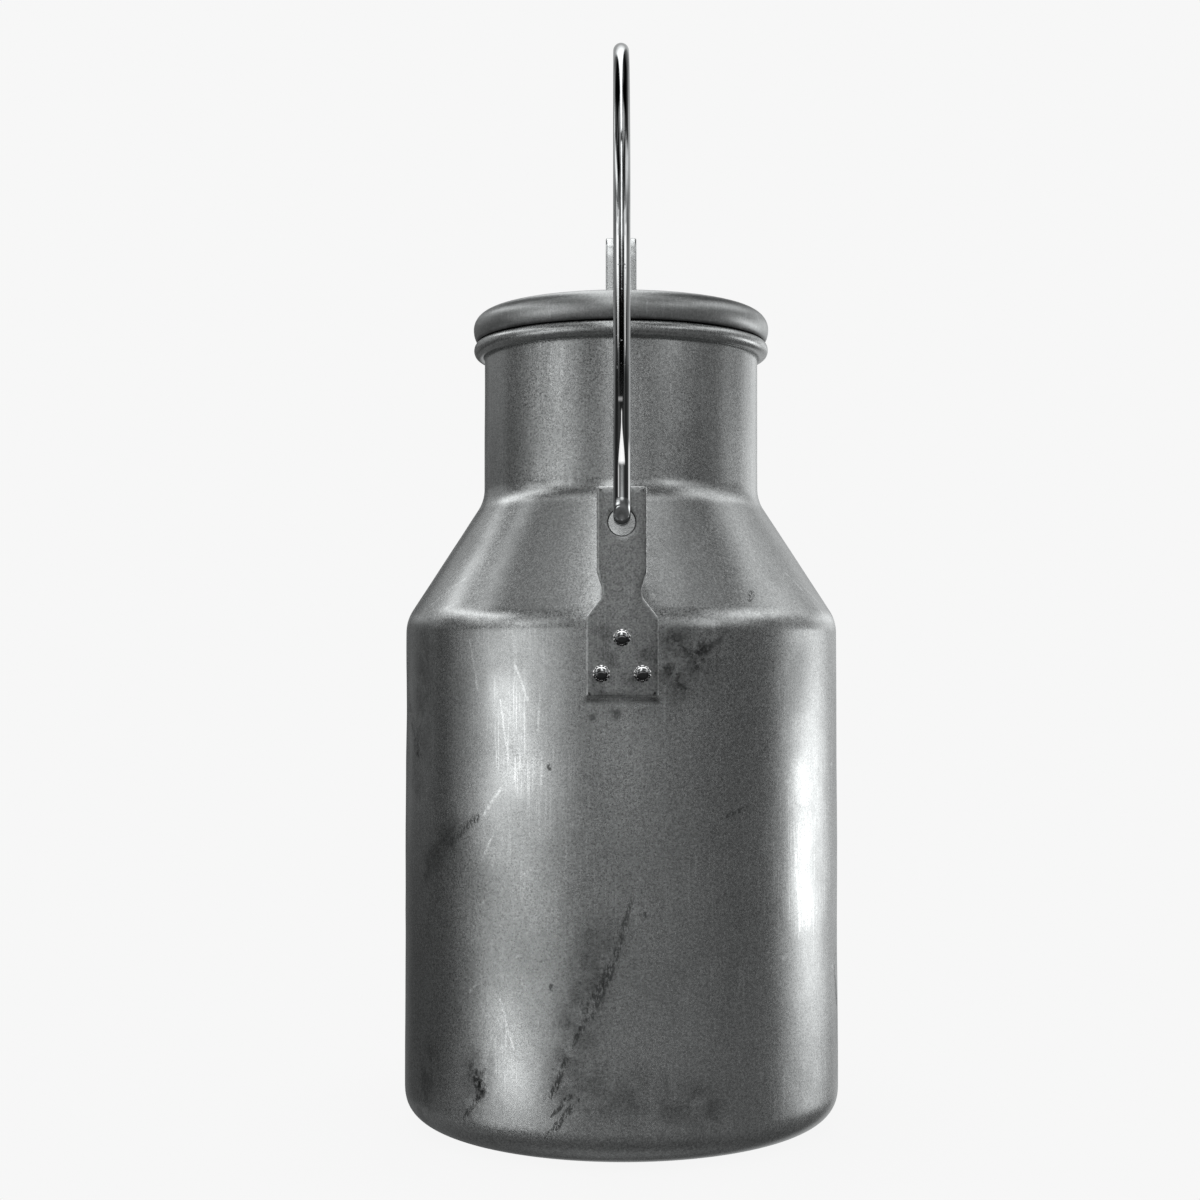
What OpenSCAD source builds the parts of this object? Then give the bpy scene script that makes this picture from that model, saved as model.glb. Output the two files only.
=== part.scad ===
// Ten litre aluminium milk can: spun body with a wired mouth, riveted ear lugs,
// a swinging wire bail, and a plug lid with a rubber seal and a strap handle.
// Millimetres. Z is up, the can stands on Z = 0, the front faces -Y, and the bail swings about Y.

/* [Can body] */
// Outside radius of the straight body wall
body_r = 110; // [109:0.5:111]
// Sheet thickness of the body, shoulder, neck and bottom
wall = 2; // [1.6:0.1:2.2]
// Height where the body wall's line meets the shoulder cone's line
shoulder_z = 252.1; // [250:0.1:254]
// Radius of the rounding between body wall and shoulder
shoulder_round = 21; // [16:0.5:24]
// Width of the rounded bottom corner, measured along the radius
corner_w = 31.2; // [29:0.2:33]
// Height of the rounded bottom corner
corner_h = 19.4; // [18:0.2:21]
// Squareness of the bottom corner: 2 is a plain ellipse, more is fuller
corner_power = 2.76; // [2.4:0.04:3]
// How far the middle of the bottom is set up above the standing ring
base_recess = 3; // [2:0.5:4]

/* [Neck and mouth] */
// Outside radius of the neck
neck_r = 70.3; // [70:0.1:70.5]
// Height where the shoulder cone's line meets the neck's line
neck_z = 313.9; // [312:0.1:315]
// Radius of the hollow rounding between shoulder and neck
neck_round = 20.5; // [16:0.5:22]
// Height of the centre of the rolled mouth bead
bead_z = 391.15; // [391.05:0.05:391.25]
// Half width of the mouth bead along the radius
bead_half_w = 3.5; // [3.4:0.05:3.6]
// Half height of the mouth bead
bead_half_h = 4.15; // [4.05:0.05:4.2]
// Radius of the steel wire that the mouth bead is rolled around
core_r = 1.48; // [1.3:0.02:1.5]

/* [Lid] */
// Largest outside radius of the lid
lid_r = 76; // [75.8:0.1:76.4]
// Height of the widest line of the lid
lid_wide_z = 401.8; // [401.5:0.1:402.2]
// Height of the rounded crest of the lid
lid_top_z = 410.7; // [410.2:0.1:411.2]
// Depth of the dished panel below the crest
lid_dish = 4; // [3:0.5:5]
// Outside radius of the lid's plug, which enters the neck
plug_r = 67.6; // [67.2:0.1:67.8]
// Height of the underside of the plug
plug_bottom_z = 362; // [355:1:370]
// Sheet thickness of the plug
plug_wall = 1.5; // [1.2:0.1:1.8]

/* [Lid handle] */
// Width of the strap
strap_w = 15.3; // [14:0.1:16.5]
// Thickness of the strap
strap_t = 2.5; // [2:0.1:3]
// Distance from the lid's centre to the outer face of a strap leg
strap_y = 40; // [38:0.5:41]
// Height of the top of the strap
strap_top_z = 444; // [440:0.5:448]
// Outside radius of the strap's upper corners
strap_round = 11; // [8:0.5:14]
// Sideways distance of each handle rivet from the strap's middle line
strap_rivet_x = 3.9; // [3.6:0.1:4.2]

/* [Ear lugs] */
// Thickness of a lug plate
lug_t = 3; // [2.8:0.1:3.2]
// Half width of the narrow upper leaf
lug_top_w = 11.5; // [11:0.1:12]
// Half width of the waist
lug_waist_w = 9.2; // [9:0.1:9.6]
// Half width of the riveted foot
lug_foot_w = 16.7; // [16:0.1:17.2]
// Height of the lug's upper edge
lug_top_z = 311.4; // [310.5:0.1:312]
// Height of the lug's lower edge
lug_foot_z = 215.1; // [213:0.1:217]
// Height of the centre of the hole that carries the bail
ear_hole_z = 295; // [294.95:0.01:295]
// Radius of the hole that carries the bail
ear_hole_r = 6.15; // [6.15:0.01:6.4]

/* [Bail] */
// Radius of the bail wire
wire_r = 3.95; // [3.85:0.05:3.95]
// Distance from the middle to the centre line of each bail arm
arm_y = 119; // [119:0.1:120]
// Height of the pivot line, which is the wire's centre inside the lug holes
pivot_z = 297.1; // [297.05:0.01:297.1]
// Height where the straight arms become the arch
arch_z = 423.7; // [420:0.1:428]

/* [Lug rivets] */
// Radius of a rivet's flange
rivet_head_r = 3.9; // [3.6:0.1:4]
// Radius of a rivet's shank
rivet_shank_r = 2.4; // [2.2:0.1:2.5]
// Height of the single upper rivet of each lug
rivet_top_z = 242.2; // [241:0.1:242.4]
// Height of the two lower rivets of each lug
rivet_low_z = 225.9; // [224:0.1:227]
// Sideways distance of each lower rivet from the lug's middle line
rivet_low_x = 9.2; // [8.8:0.1:9.6]

/* [Hidden] */
$fn = 96;

alu = [0.56, 0.57, 0.57];
alu_dark = [0.46, 0.47, 0.47];
chrome = [0.83, 0.84, 0.85];
steel = [0.62, 0.62, 0.62];
black = [0.08, 0.08, 0.08];

// Clearance around rivet shanks, the plug's flange and the gasket's sides
fit = 0.05;

// Bottom: the raised middle ends at recess_r and the standing ring starts at ring_r
recess_r = 60;
ring_r = 68;

// Shoulder cone's slope from the vertical, and the centres of the roundings at its ends
cone_angle = atan((body_r - neck_r) / (neck_z - shoulder_z));
shoulder_centre = [body_r - shoulder_round, shoulder_z - shoulder_round * tan(cone_angle / 2)];
neck_centre = [neck_r + neck_round, neck_z + neck_round * tan(cone_angle / 2)];

// Mouth bead, whose centre lies bead_offset outside the neck's outer face
bead_offset = 1.98;
bead_r = neck_r + bead_offset;
bead_top = bead_z + bead_half_h;
neck_in = neck_r - wall;

// The lid's lip, which is crimped under the plug's flange
lip_z = bead_top + 0.1;
lip_in = bead_r - 0.38;
flange_z = lip_z + 1.6;
flange_r = lip_in + 1.1;

// Lid: the dished panel, and the rounding from the crest out to the widest line
lid_wall = 2;
panel_z = lid_top_z - lid_dish;
panel_r = 56;
crest_w = 10.25;
crest_r = lid_r - crest_w;

// Strap feet: distances of the tip and of the rivets from the lid's centre
foot_tip = strap_y + 14;
foot_rivet_y = strap_y + 8.5;
strap_shank_r = 1.6;

// Lugs: outer face, and the angle of a lower rivet from the lug's middle line
lug_face = body_r + lug_t;
rivet_angle = asin(rivet_low_x / (body_r + lug_t / 2));

// Points on an elliptical arc
function arc(centre, rx, ry, from, to, steps) =
    [for (i = [0:steps])
        let (angle = from + (to - from) * i / steps)
        [centre.x + rx * cos(angle), centre.y + ry * sin(angle)]];

// Points on a smooth step from (r0, z0) to (r1, z1)
function step_curve(r0, z0, r1, z1, steps) =
    [for (i = [0:steps])
        let (t = i / steps)
        [r0 + (r1 - r0) * t, z0 + (z1 - z0) * (1 - cos(180 * t)) / 2]];

// A quarter of a slightly squared ellipse, from its side to its top
function quarter(centre, rx, rz, power, steps) =
    [for (i = [0:steps])
        let (angle = 90 * i / steps)
        [centre.x + rx * pow(cos(angle), 2 / power), centre.y + rz * pow(sin(angle), 2 / power)]];

function backwards(rows) = [for (i = [len(rows) - 1:-1:0]) rows[i]];

// Rows in reverse order with the first column negated, to close a symmetric outline
function mirrored(rows) =
    [for (row = backwards(rows)) [for (i = [0:len(row) - 1]) i == 0 ? -row[i] : row[i]]];

function unit(v) = v / norm(v);

// One rounded corner of a polygon, given the corner and its two neighbours
function corner(before, point, after, radius, steps) =
    let (u = unit(before - point),
         v = unit(after - point),
         half_angle = acos(u * v) / 2,
         centre = point + unit(u + v) * radius / sin(half_angle),
         start = point + u * radius / tan(half_angle) - centre,
         end = point + v * radius / tan(half_angle) - centre,
         from = atan2(start.y, start.x),
         turn = atan2(end.y, end.x) - from,
         sweep = turn > 180 ? turn - 360 : turn < -180 ? turn + 360 : turn)
    arc(centre, radius, radius, from, from + sweep, steps);

// A polygon given as [x, y, corner radius] rows, with every corner rounded
function rounded(rows, steps) =
    let (count = len(rows))
    [for (i = [0:count - 1])
        let (before = rows[(i + count - 1) % count], row = rows[i], after = rows[(i + 1) % count])
        each corner([before.x, before.y], [row.x, row.y], [after.x, after.y], row[2], steps)];

// Outer line of the shell from the middle of the bottom up to the foot of the neck,
// set inwards by inset
function shell_line(inset) = concat(
    [[0, base_recess + inset]],
    step_curve(recess_r, base_recess + inset, ring_r, inset, 8),
    [for (p = backwards(quarter([0, 0], corner_w - inset, corner_h - inset, corner_power, 24)))
        [body_r - corner_w + p.x, corner_h - p.y]],
    arc(shoulder_centre, shoulder_round - inset, shoulder_round - inset, 0, cone_angle, 10),
    arc(neck_centre, neck_round + inset, neck_round + inset, 180 + cone_angle, 180, 10));

// Rivet profile from its flattened tail, whose upper face is at low_z, up the shank to high_z
function rivet_tail(shank_r, tail_r, tail_h, bevel, low_z, high_z) = [
    [0, low_z - tail_h],
    [tail_r - bevel.x, low_z - tail_h],
    [tail_r, low_z - tail_h + bevel.y],
    [tail_r, low_z],
    [shank_r, low_z],
    [shank_r, high_z]];

// Points the children's Z along -Y, starting at a depth inside the front of the body
module outward(depth, z) {
    translate([0, -body_r + depth, z]) rotate([90, 0, 0]) children();
}

// Holes for the rivets of the front lug
module lug_rivet_holes() {
    for (place = [[0, rivet_top_z], [rivet_angle, rivet_low_z], [-rivet_angle, rivet_low_z]])
        rotate([0, 0, place[0]]) outward(5, place[1]) cylinder(r = rivet_shank_r + fit, h = 12);
}

module can_shell() {
    // Where the bead's outline meets the neck's outer face
    seam_angle = acos(-bead_offset / bead_half_w);
    slit_w = 0.12;
    color(alu) difference() {
        rotate_extrude() difference() {
            polygon(concat(
                shell_line(0),
                arc([bead_r, bead_z], bead_half_w, bead_half_h, -seam_angle, 90, 24),
                arc([bead_r, bead_z], bead_r - neck_in, bead_half_h, 95, 180, 10),
                backwards(shell_line(wall))));
            // Space for the wire, and the seam where the roll's end meets the neck
            translate([bead_r, bead_z]) {
                circle(r = core_r + 0.04);
                rotate(-117) translate([1, -slit_w / 2]) square([4, slit_w]);
            }
        }
        lug_rivet_holes();
        rotate([0, 0, 180]) lug_rivet_holes();
    }
}

module rim_wire() {
    color(steel) rotate_extrude() translate([bead_r, bead_z]) circle(r = core_r);
}

// Upright plate, curved to the body, whose upper leaf stands clear of the shoulder
module lug() {
    // Right edge from foot to top: half width, height, corner radius
    right = [
        [lug_foot_w, lug_foot_z, 1.2],
        [lug_foot_w, 251.5, 4.5],
        [lug_waist_w, 261, 5],
        [lug_waist_w, 265.3, 5],
        [lug_top_w, 272.2, 5],
        [lug_top_w, lug_top_z, 1]];
    difference() {
        intersection() {
            translate([0, 0, lug_foot_z - 5]) difference() {
                cylinder(r = lug_face, h = 110);
                translate([0, 0, -1]) cylinder(r = body_r, h = 112);
            }
            outward(8, 0) linear_extrude(20) polygon(rounded(concat(right, mirrored(right)), 6));
        }
        outward(8, ear_hole_z) cylinder(r = ear_hole_r, h = 20);
        lug_rivet_holes();
    }
}

module front_lug() { color(alu_dark) lug(); }
module rear_lug() { color(alu_dark) rotate([0, 0, 180]) lug(); }

// A domed rivet, set through lug and wall, with its tail hammered flat inside;
// turn is its angle about Z from the front
module lug_rivet(turn, z) {
    edge_w = 0.45;
    edge_h = 0.4;
    tail_gap = 0.08;
    color(chrome) rotate([0, 0, turn]) outward(0, z) rotate_extrude() polygon(concat(
        rivet_tail(shank_r = rivet_shank_r, tail_r = 3.5, tail_h = 1.5, bevel = [0.5, 0.4],
                   low_z = -wall - tail_gap, high_z = lug_t),
        [[rivet_head_r, lug_t]],
        arc([rivet_head_r - edge_w, lug_t + edge_h], edge_w, edge_w, 0, 90, 4),
        arc([0, lug_t + 0.75], rivet_head_r * 0.76, 1.65, 4, 90, 10)));
}

module front_lug_rivet_top() { lug_rivet(0, rivet_top_z); }
module front_lug_rivet_left() { lug_rivet(-rivet_angle, rivet_low_z); }
module front_lug_rivet_right() { lug_rivet(rivet_angle, rivet_low_z); }
module rear_lug_rivet_top() { lug_rivet(180, rivet_top_z); }
module rear_lug_rivet_left() { lug_rivet(180 + rivet_angle, rivet_low_z); }
module rear_lug_rivet_right() { lug_rivet(180 - rivet_angle, rivet_low_z); }

// Part of a ring of wire in the YZ plane
module wire_bend(y, z, radius, from, sweep) {
    translate([0, y, z]) rotate([90, 0, 90]) rotate([0, 0, from])
        rotate_extrude(angle = sweep) translate([radius, 0]) circle(r = wire_r);
}

// One bail arm, on the +Y side: down, in through the lug hole and up behind it
module bail_arm() {
    outer_bend = arm_y - lug_face;
    inner_bend = 6;
    tip_y = body_r - inner_bend;
    tip_z = pivot_z + inner_bend;
    tip_h = 5;
    bevel = 1.2;
    arm_low = pivot_z + outer_bend;
    wire_bend(lug_face, arm_low, outer_bend, -90, 90);
    translate([0, body_r, pivot_z]) rotate([-90, 0, 0]) cylinder(r = wire_r, h = lug_t);
    wire_bend(body_r, tip_z, inner_bend, 180, 90);
    translate([0, tip_y, tip_z]) cylinder(r = wire_r, h = tip_h);
    translate([0, tip_y, tip_z + tip_h]) cylinder(r1 = wire_r, r2 = wire_r - bevel, h = bevel);
    translate([0, arm_y, arm_low]) cylinder(r = wire_r, h = arch_z - arm_low);
}

module bail() {
    color(chrome) union() {
        for (m = [0, 1]) mirror([0, m, 0]) bail_arm();
        wire_bend(0, arch_z, arm_y, 0, 180);
    }
}

// Holes for the four handle rivets, from a depth below the panel's top face
module handle_rivet_holes(depth, height) {
    for (x = [-1, 1], y = [-1, 1])
        translate([x * strap_rivet_x, y * foot_rivet_y, panel_z - depth])
            cylinder(r = strap_shank_r + fit, h = height);
}

module lid_cover() {
    // Half axes of the ellipse that draws the lip in below the widest line
    lip_half_w = 5.24;
    lip_half_h = 8.2;
    lip_angle = -asin((lid_wide_z - lip_z) / lip_half_h);
    crest_centre = [crest_r, lid_wide_z];
    crest_h = lid_top_z - lid_wide_z;
    crest_power = 2.08;
    groove_r = flange_r + fit;
    color(alu) difference() {
        rotate_extrude() polygon(concat(
            [[0, panel_z]],
            step_curve(panel_r, panel_z, crest_r, lid_top_z, 12),
            backwards(quarter(crest_centre, crest_w, crest_h, crest_power, 14)),
            arc([lid_r - lip_half_w, lid_wide_z], lip_half_w, lip_half_h, 0, lip_angle, 8),
            [[lip_in, lip_z], [lip_in, flange_z - fit], [groove_r, flange_z - fit],
             [groove_r, flange_z + plug_wall + fit]],
            quarter(crest_centre, crest_w - lid_wall, crest_h - lid_wall, crest_power, 14),
            step_curve(crest_r, lid_top_z - lid_wall, panel_r + 0.6, panel_z - lid_wall, 12),
            [[0, panel_z - lid_wall]]));
        handle_rivet_holes(5, 10);
    }
}

// Flanged cup that enters the neck
module lid_plug() {
    round_r = 4;
    round_in = round_r - plug_wall;
    round_centre = [plug_r - round_r, plug_bottom_z + round_r];
    color(alu) rotate_extrude() polygon(concat(
        [[0, plug_bottom_z]],
        arc(round_centre, round_r, round_r, -90, 0, 8),
        [[plug_r, flange_z], [flange_r, flange_z], [flange_r, flange_z + plug_wall],
         [plug_r - plug_wall, flange_z + plug_wall]],
        arc(round_centre, round_in, round_in, 0, -90, 8),
        [[0, plug_bottom_z + plug_wall]]));
}

// Rubber ring between the mouth bead and the lid, shaped to the bead's inner side
module lid_gasket() {
    bead_gap = 0.03;
    top_z = flange_z - 0.02;
    inner_r = plug_r + fit;
    outer_r = lip_in - fit;
    seat_r = bead_r - 2.73;
    color(black) rotate_extrude() polygon(concat(
        [[outer_r, top_z], [inner_r, top_z], [inner_r, bead_top - 1.1]],
        [for (i = [0:8])
            let (r = seat_r + (outer_r - seat_r) * i / 8, across = (r - bead_r) / (bead_r - neck_in))
            [r, bead_z + bead_gap + bead_half_h * sqrt(1 - across * across)]]));
}

// Bent strap: two feet on the dished panel, two legs and a flat grip
module lid_handle() {
    foot_bend = 2;
    foot_outer = foot_bend + strap_t;
    foot_centre = [strap_y + foot_bend, panel_z + foot_outer];
    top_inner = strap_round - strap_t;
    top_centre = [strap_y - strap_round, strap_top_z - strap_round];
    outside = concat(
        [[foot_tip, panel_z], [foot_tip, panel_z + strap_t]],
        arc(foot_centre, foot_bend, foot_bend, 270, 180, 6),
        arc(top_centre, strap_round, strap_round, 0, 90, 12));
    inside = concat(
        arc(top_centre, top_inner, top_inner, 90, 0, 12),
        arc(foot_centre, foot_outer, foot_outer, 180, 270, 8));
    // Seen from above: x, y, corner radius
    plan = [for (side = [[1, 1], [-1, 1], [-1, -1], [1, -1]])
        [side.x * strap_w / 2, side.y * foot_tip, 5]];
    color(alu) difference() {
        intersection() {
            translate([-strap_w / 2, 0, 0]) rotate([90, 0, 90]) linear_extrude(strap_w)
                polygon(concat(outside, mirrored(outside), mirrored(inside), inside));
            translate([0, 0, panel_z - 1]) linear_extrude(60) polygon(rounded(plan, 8));
        }
        handle_rivet_holes(1, 5);
    }
}

// Small round-head rivet that holds a handle foot to the lid; x and y are its side, -1 or 1
module handle_rivet(x, y) {
    color(steel) translate([x * strap_rivet_x, y * foot_rivet_y, panel_z])
        rotate_extrude() polygon(concat(
            rivet_tail(shank_r = strap_shank_r, tail_r = 2.6, tail_h = 1.1, bevel = [0.4, 0.3],
                       low_z = -lid_wall, high_z = strap_t),
            arc([0, strap_t], 3, 1.7, 0, 90, 10)));
}

module handle_rivet_front_left() { handle_rivet(-1, -1); }
module handle_rivet_front_right() { handle_rivet(1, -1); }
module handle_rivet_rear_left() { handle_rivet(-1, 1); }
module handle_rivet_rear_right() { handle_rivet(1, 1); }

can_shell();
rim_wire();
front_lug();
rear_lug();
front_lug_rivet_top();
front_lug_rivet_left();
front_lug_rivet_right();
rear_lug_rivet_top();
rear_lug_rivet_left();
rear_lug_rivet_right();
bail();
lid_cover();
lid_plug();
lid_gasket();
lid_handle();
handle_rivet_front_left();
handle_rivet_front_right();
handle_rivet_rear_left();
handle_rivet_rear_right();
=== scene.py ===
# An aluminium can with riveted lugs, a wire bail and a lid with a strap handle. It stands on
# its base round the Z axis with its front towards -Y. Both handles arch over it in the YZ plane.
import bpy, bmesh, math
import numpy as np
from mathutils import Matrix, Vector, noise
from mathutils.geometry import delaunay_2d_cdt


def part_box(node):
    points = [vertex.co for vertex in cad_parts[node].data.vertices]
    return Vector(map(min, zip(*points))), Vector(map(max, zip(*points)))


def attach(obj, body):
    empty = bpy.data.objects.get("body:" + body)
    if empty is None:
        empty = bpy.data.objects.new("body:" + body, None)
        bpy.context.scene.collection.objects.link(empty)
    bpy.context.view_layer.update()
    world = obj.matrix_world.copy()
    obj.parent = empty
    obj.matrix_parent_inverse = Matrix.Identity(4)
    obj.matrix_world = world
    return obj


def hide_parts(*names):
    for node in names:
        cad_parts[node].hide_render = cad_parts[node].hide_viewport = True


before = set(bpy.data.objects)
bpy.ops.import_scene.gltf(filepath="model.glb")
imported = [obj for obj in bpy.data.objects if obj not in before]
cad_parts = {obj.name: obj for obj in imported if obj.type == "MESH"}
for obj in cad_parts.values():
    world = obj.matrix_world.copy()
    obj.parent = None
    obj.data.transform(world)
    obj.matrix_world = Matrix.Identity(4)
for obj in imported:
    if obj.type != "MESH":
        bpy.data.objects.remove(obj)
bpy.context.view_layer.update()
scene = bpy.context.scene
scene.view_settings.view_transform = "Standard"

# ------------------------------------------------------------------ sizes
# Sizes are in design mm, with z measured up from the base of the can.
shell_lo, shell_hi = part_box("can_shell")
BASE = shell_lo[2]                                   # metres
SIZE = (shell_hi[1] - shell_lo[1]) / 2 / 0.110       # 1.0 at the design size
MM = 0.001 * SIZE

BODY_R, WALL = 110.0, 2.0
FLOOR_R, FLOOR_Z, RING_R = 60, 3.0, 68               # raised floor, then the standing ring
CORNER_W, CORNER_H, CORNER_POWER = 31.2, 19.4, 2.76
SHOULDER_Z, SHOULDER_BEND = 252.1, 21.0
NECK_Z, NECK_BEND = 313.9, 20.5
NECK_R = 70.3
NECK_IN = NECK_R - WALL
BEAD_R, BEAD_Z, BEAD_HALF_W, BEAD_HALF_H = 72.28, 391.15, 3.5, 4.15
LUG_T = 3.0
CONE = math.degrees(math.atan((BODY_R - NECK_R) / (NECK_Z - SHOULDER_Z)))    # from upright
HALF_CONE = math.tan(math.radians(CONE / 2))
SHOULDER_C = (BODY_R - SHOULDER_BEND, SHOULDER_Z - SHOULDER_BEND * HALF_CONE)
NECK_C = (NECK_R + NECK_BEND, NECK_Z + NECK_BEND * HALF_CONE)


def point(x, y, z):
    """Design mm to metres."""
    return Vector((x * MM, y * MM, BASE + z * MM))


# ------------------------------------------------------------------ profile curves
def arc(centre, rx, ry, start, end, n):
    out = []
    for i in range(n + 1):
        a = math.radians(start + (end - start) * i / n)
        out.append((centre[0] + rx * math.cos(a), centre[1] + ry * math.sin(a)))
    return out


def circle(centre, r, n):
    turns = [2 * math.pi * k / n for k in range(n)]
    return [(centre[0] + r * math.cos(a), centre[1] + r * math.sin(a)) for a in turns]


def line(a, b, n):
    """Points strictly between a and b."""
    return [(a[0] + (b[0] - a[0]) * i / n, a[1] + (b[1] - a[1]) * i / n) for i in range(1, n)]


def s_curve(r0, z0, r1, z1, n):
    return [(r0 + (r1 - r0) * i / n, z0 + (z1 - z0) * (1 - math.cos(math.pi * i / n)) / 2)
            for i in range(n + 1)]


def squircle(centre, rx, rz, power, n):
    """A quarter of a superellipse, from the outer side to the top."""
    out = []
    for i in range(n + 1):
        a = math.radians(90 * i / n)
        out.append((centre[0] + rx * max(math.cos(a), 0) ** (2 / power),
                    centre[1] + rz * max(math.sin(a), 0) ** (2 / power)))
    return out


# ------------------------------------------------------------------ mesh tools
def build(name, shape, body, material, cad, sharp):
    """Makes the object from (verts, faces), in place of the CAD piece. sharp is in degrees."""
    verts, faces = shape
    mesh = bpy.data.meshes.new(name)
    mesh.from_pydata([tuple(v) for v in verts], [], faces)
    bm = bmesh.new()
    bm.from_mesh(mesh)
    bmesh.ops.recalc_face_normals(bm, faces=bm.faces)
    bm.to_mesh(mesh)
    bm.free()
    mesh.shade_smooth()
    mesh.set_sharp_from_angle(angle=math.radians(sharp))
    ob = bpy.data.objects.new(name, mesh)
    scene.collection.objects.link(ob)
    mesh.materials.append(material)
    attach(ob, body)
    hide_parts(cad)
    return ob


def paint(ob, name, colours):
    """Keeps a flat list of RGBA values as a colour on the vertices."""
    layer = ob.data.color_attributes.new(name, "FLOAT_COLOR", "POINT")
    layer.data.foreach_set("color", colours)


def lathe(profile, segments, place=point, push=None, closed=False):
    """Turns (r, z) points about Z. A point on the axis becomes a single pole.
    push(theta, r, z, index) is an outward shift in mm."""
    verts, rings = [], []
    for k, (r, z) in enumerate(profile):
        if r < 1e-6:
            rings.append([len(verts)])
            verts.append(place(0, 0, z))
            continue
        ring = []
        for i in range(segments):
            theta = 2 * math.pi * i / segments
            shift = push(theta, r, z, k) if push else 0.0
            ring.append(len(verts))
            verts.append(place((r + shift) * math.cos(theta), (r + shift) * math.sin(theta), z))
        rings.append(ring)
    pairs = list(zip(rings[:-1], rings[1:]))
    if closed:
        pairs.append((rings[-1], rings[0]))
    faces = []
    for a, b in pairs:
        for i in range(segments):
            j = (i + 1) % segments
            if len(a) == 1:
                faces.append((a[0], b[j], b[i]))
            elif len(b) == 1:
                faces.append((a[i], a[j], b[0]))
            else:
                faces.append((a[i], a[j], b[j], b[i]))
    return verts, faces


def sweep(path, section):
    """Runs a section of (x, n) points, n square to the path, along a path in the YZ plane.
    path: y, z, tangent angle, scale of x, scale of n."""
    verts, faces, m = [], [], len(section)
    for y, z, angle, scale_x, scale_n in path:
        ny, nz = -math.sin(angle), math.cos(angle)
        for x, n in section:
            verts.append(point(x * scale_x, y + n * scale_n * ny, z + n * scale_n * nz))
    for k in range(len(path) - 1):
        for i in range(m):
            j = (i + 1) % m
            faces.append((k * m + i, k * m + j, (k + 1) * m + j, (k + 1) * m + i))
    faces.append(tuple(range(m - 1, -1, -1)))
    faces.append(tuple(range((len(path) - 1) * m, len(path) * m)))
    return verts, faces


def mirrored(half):
    """A (y, z) path that ends on the axis, carried on to the other side."""
    return half + [(-y, z) for y, z in half[:-1][::-1]]


def with_tangents(points):
    out = []
    for i, (y, z) in enumerate(points):
        a = points[max(i - 1, 0)]
        b = points[min(i + 1, len(points) - 1)]
        out.append((y, z, math.atan2(b[1] - a[1], b[0] - a[0])))
    return out


# ------------------------------------------------------------------ node tools
FALL = (1.0, 0.0)


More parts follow.
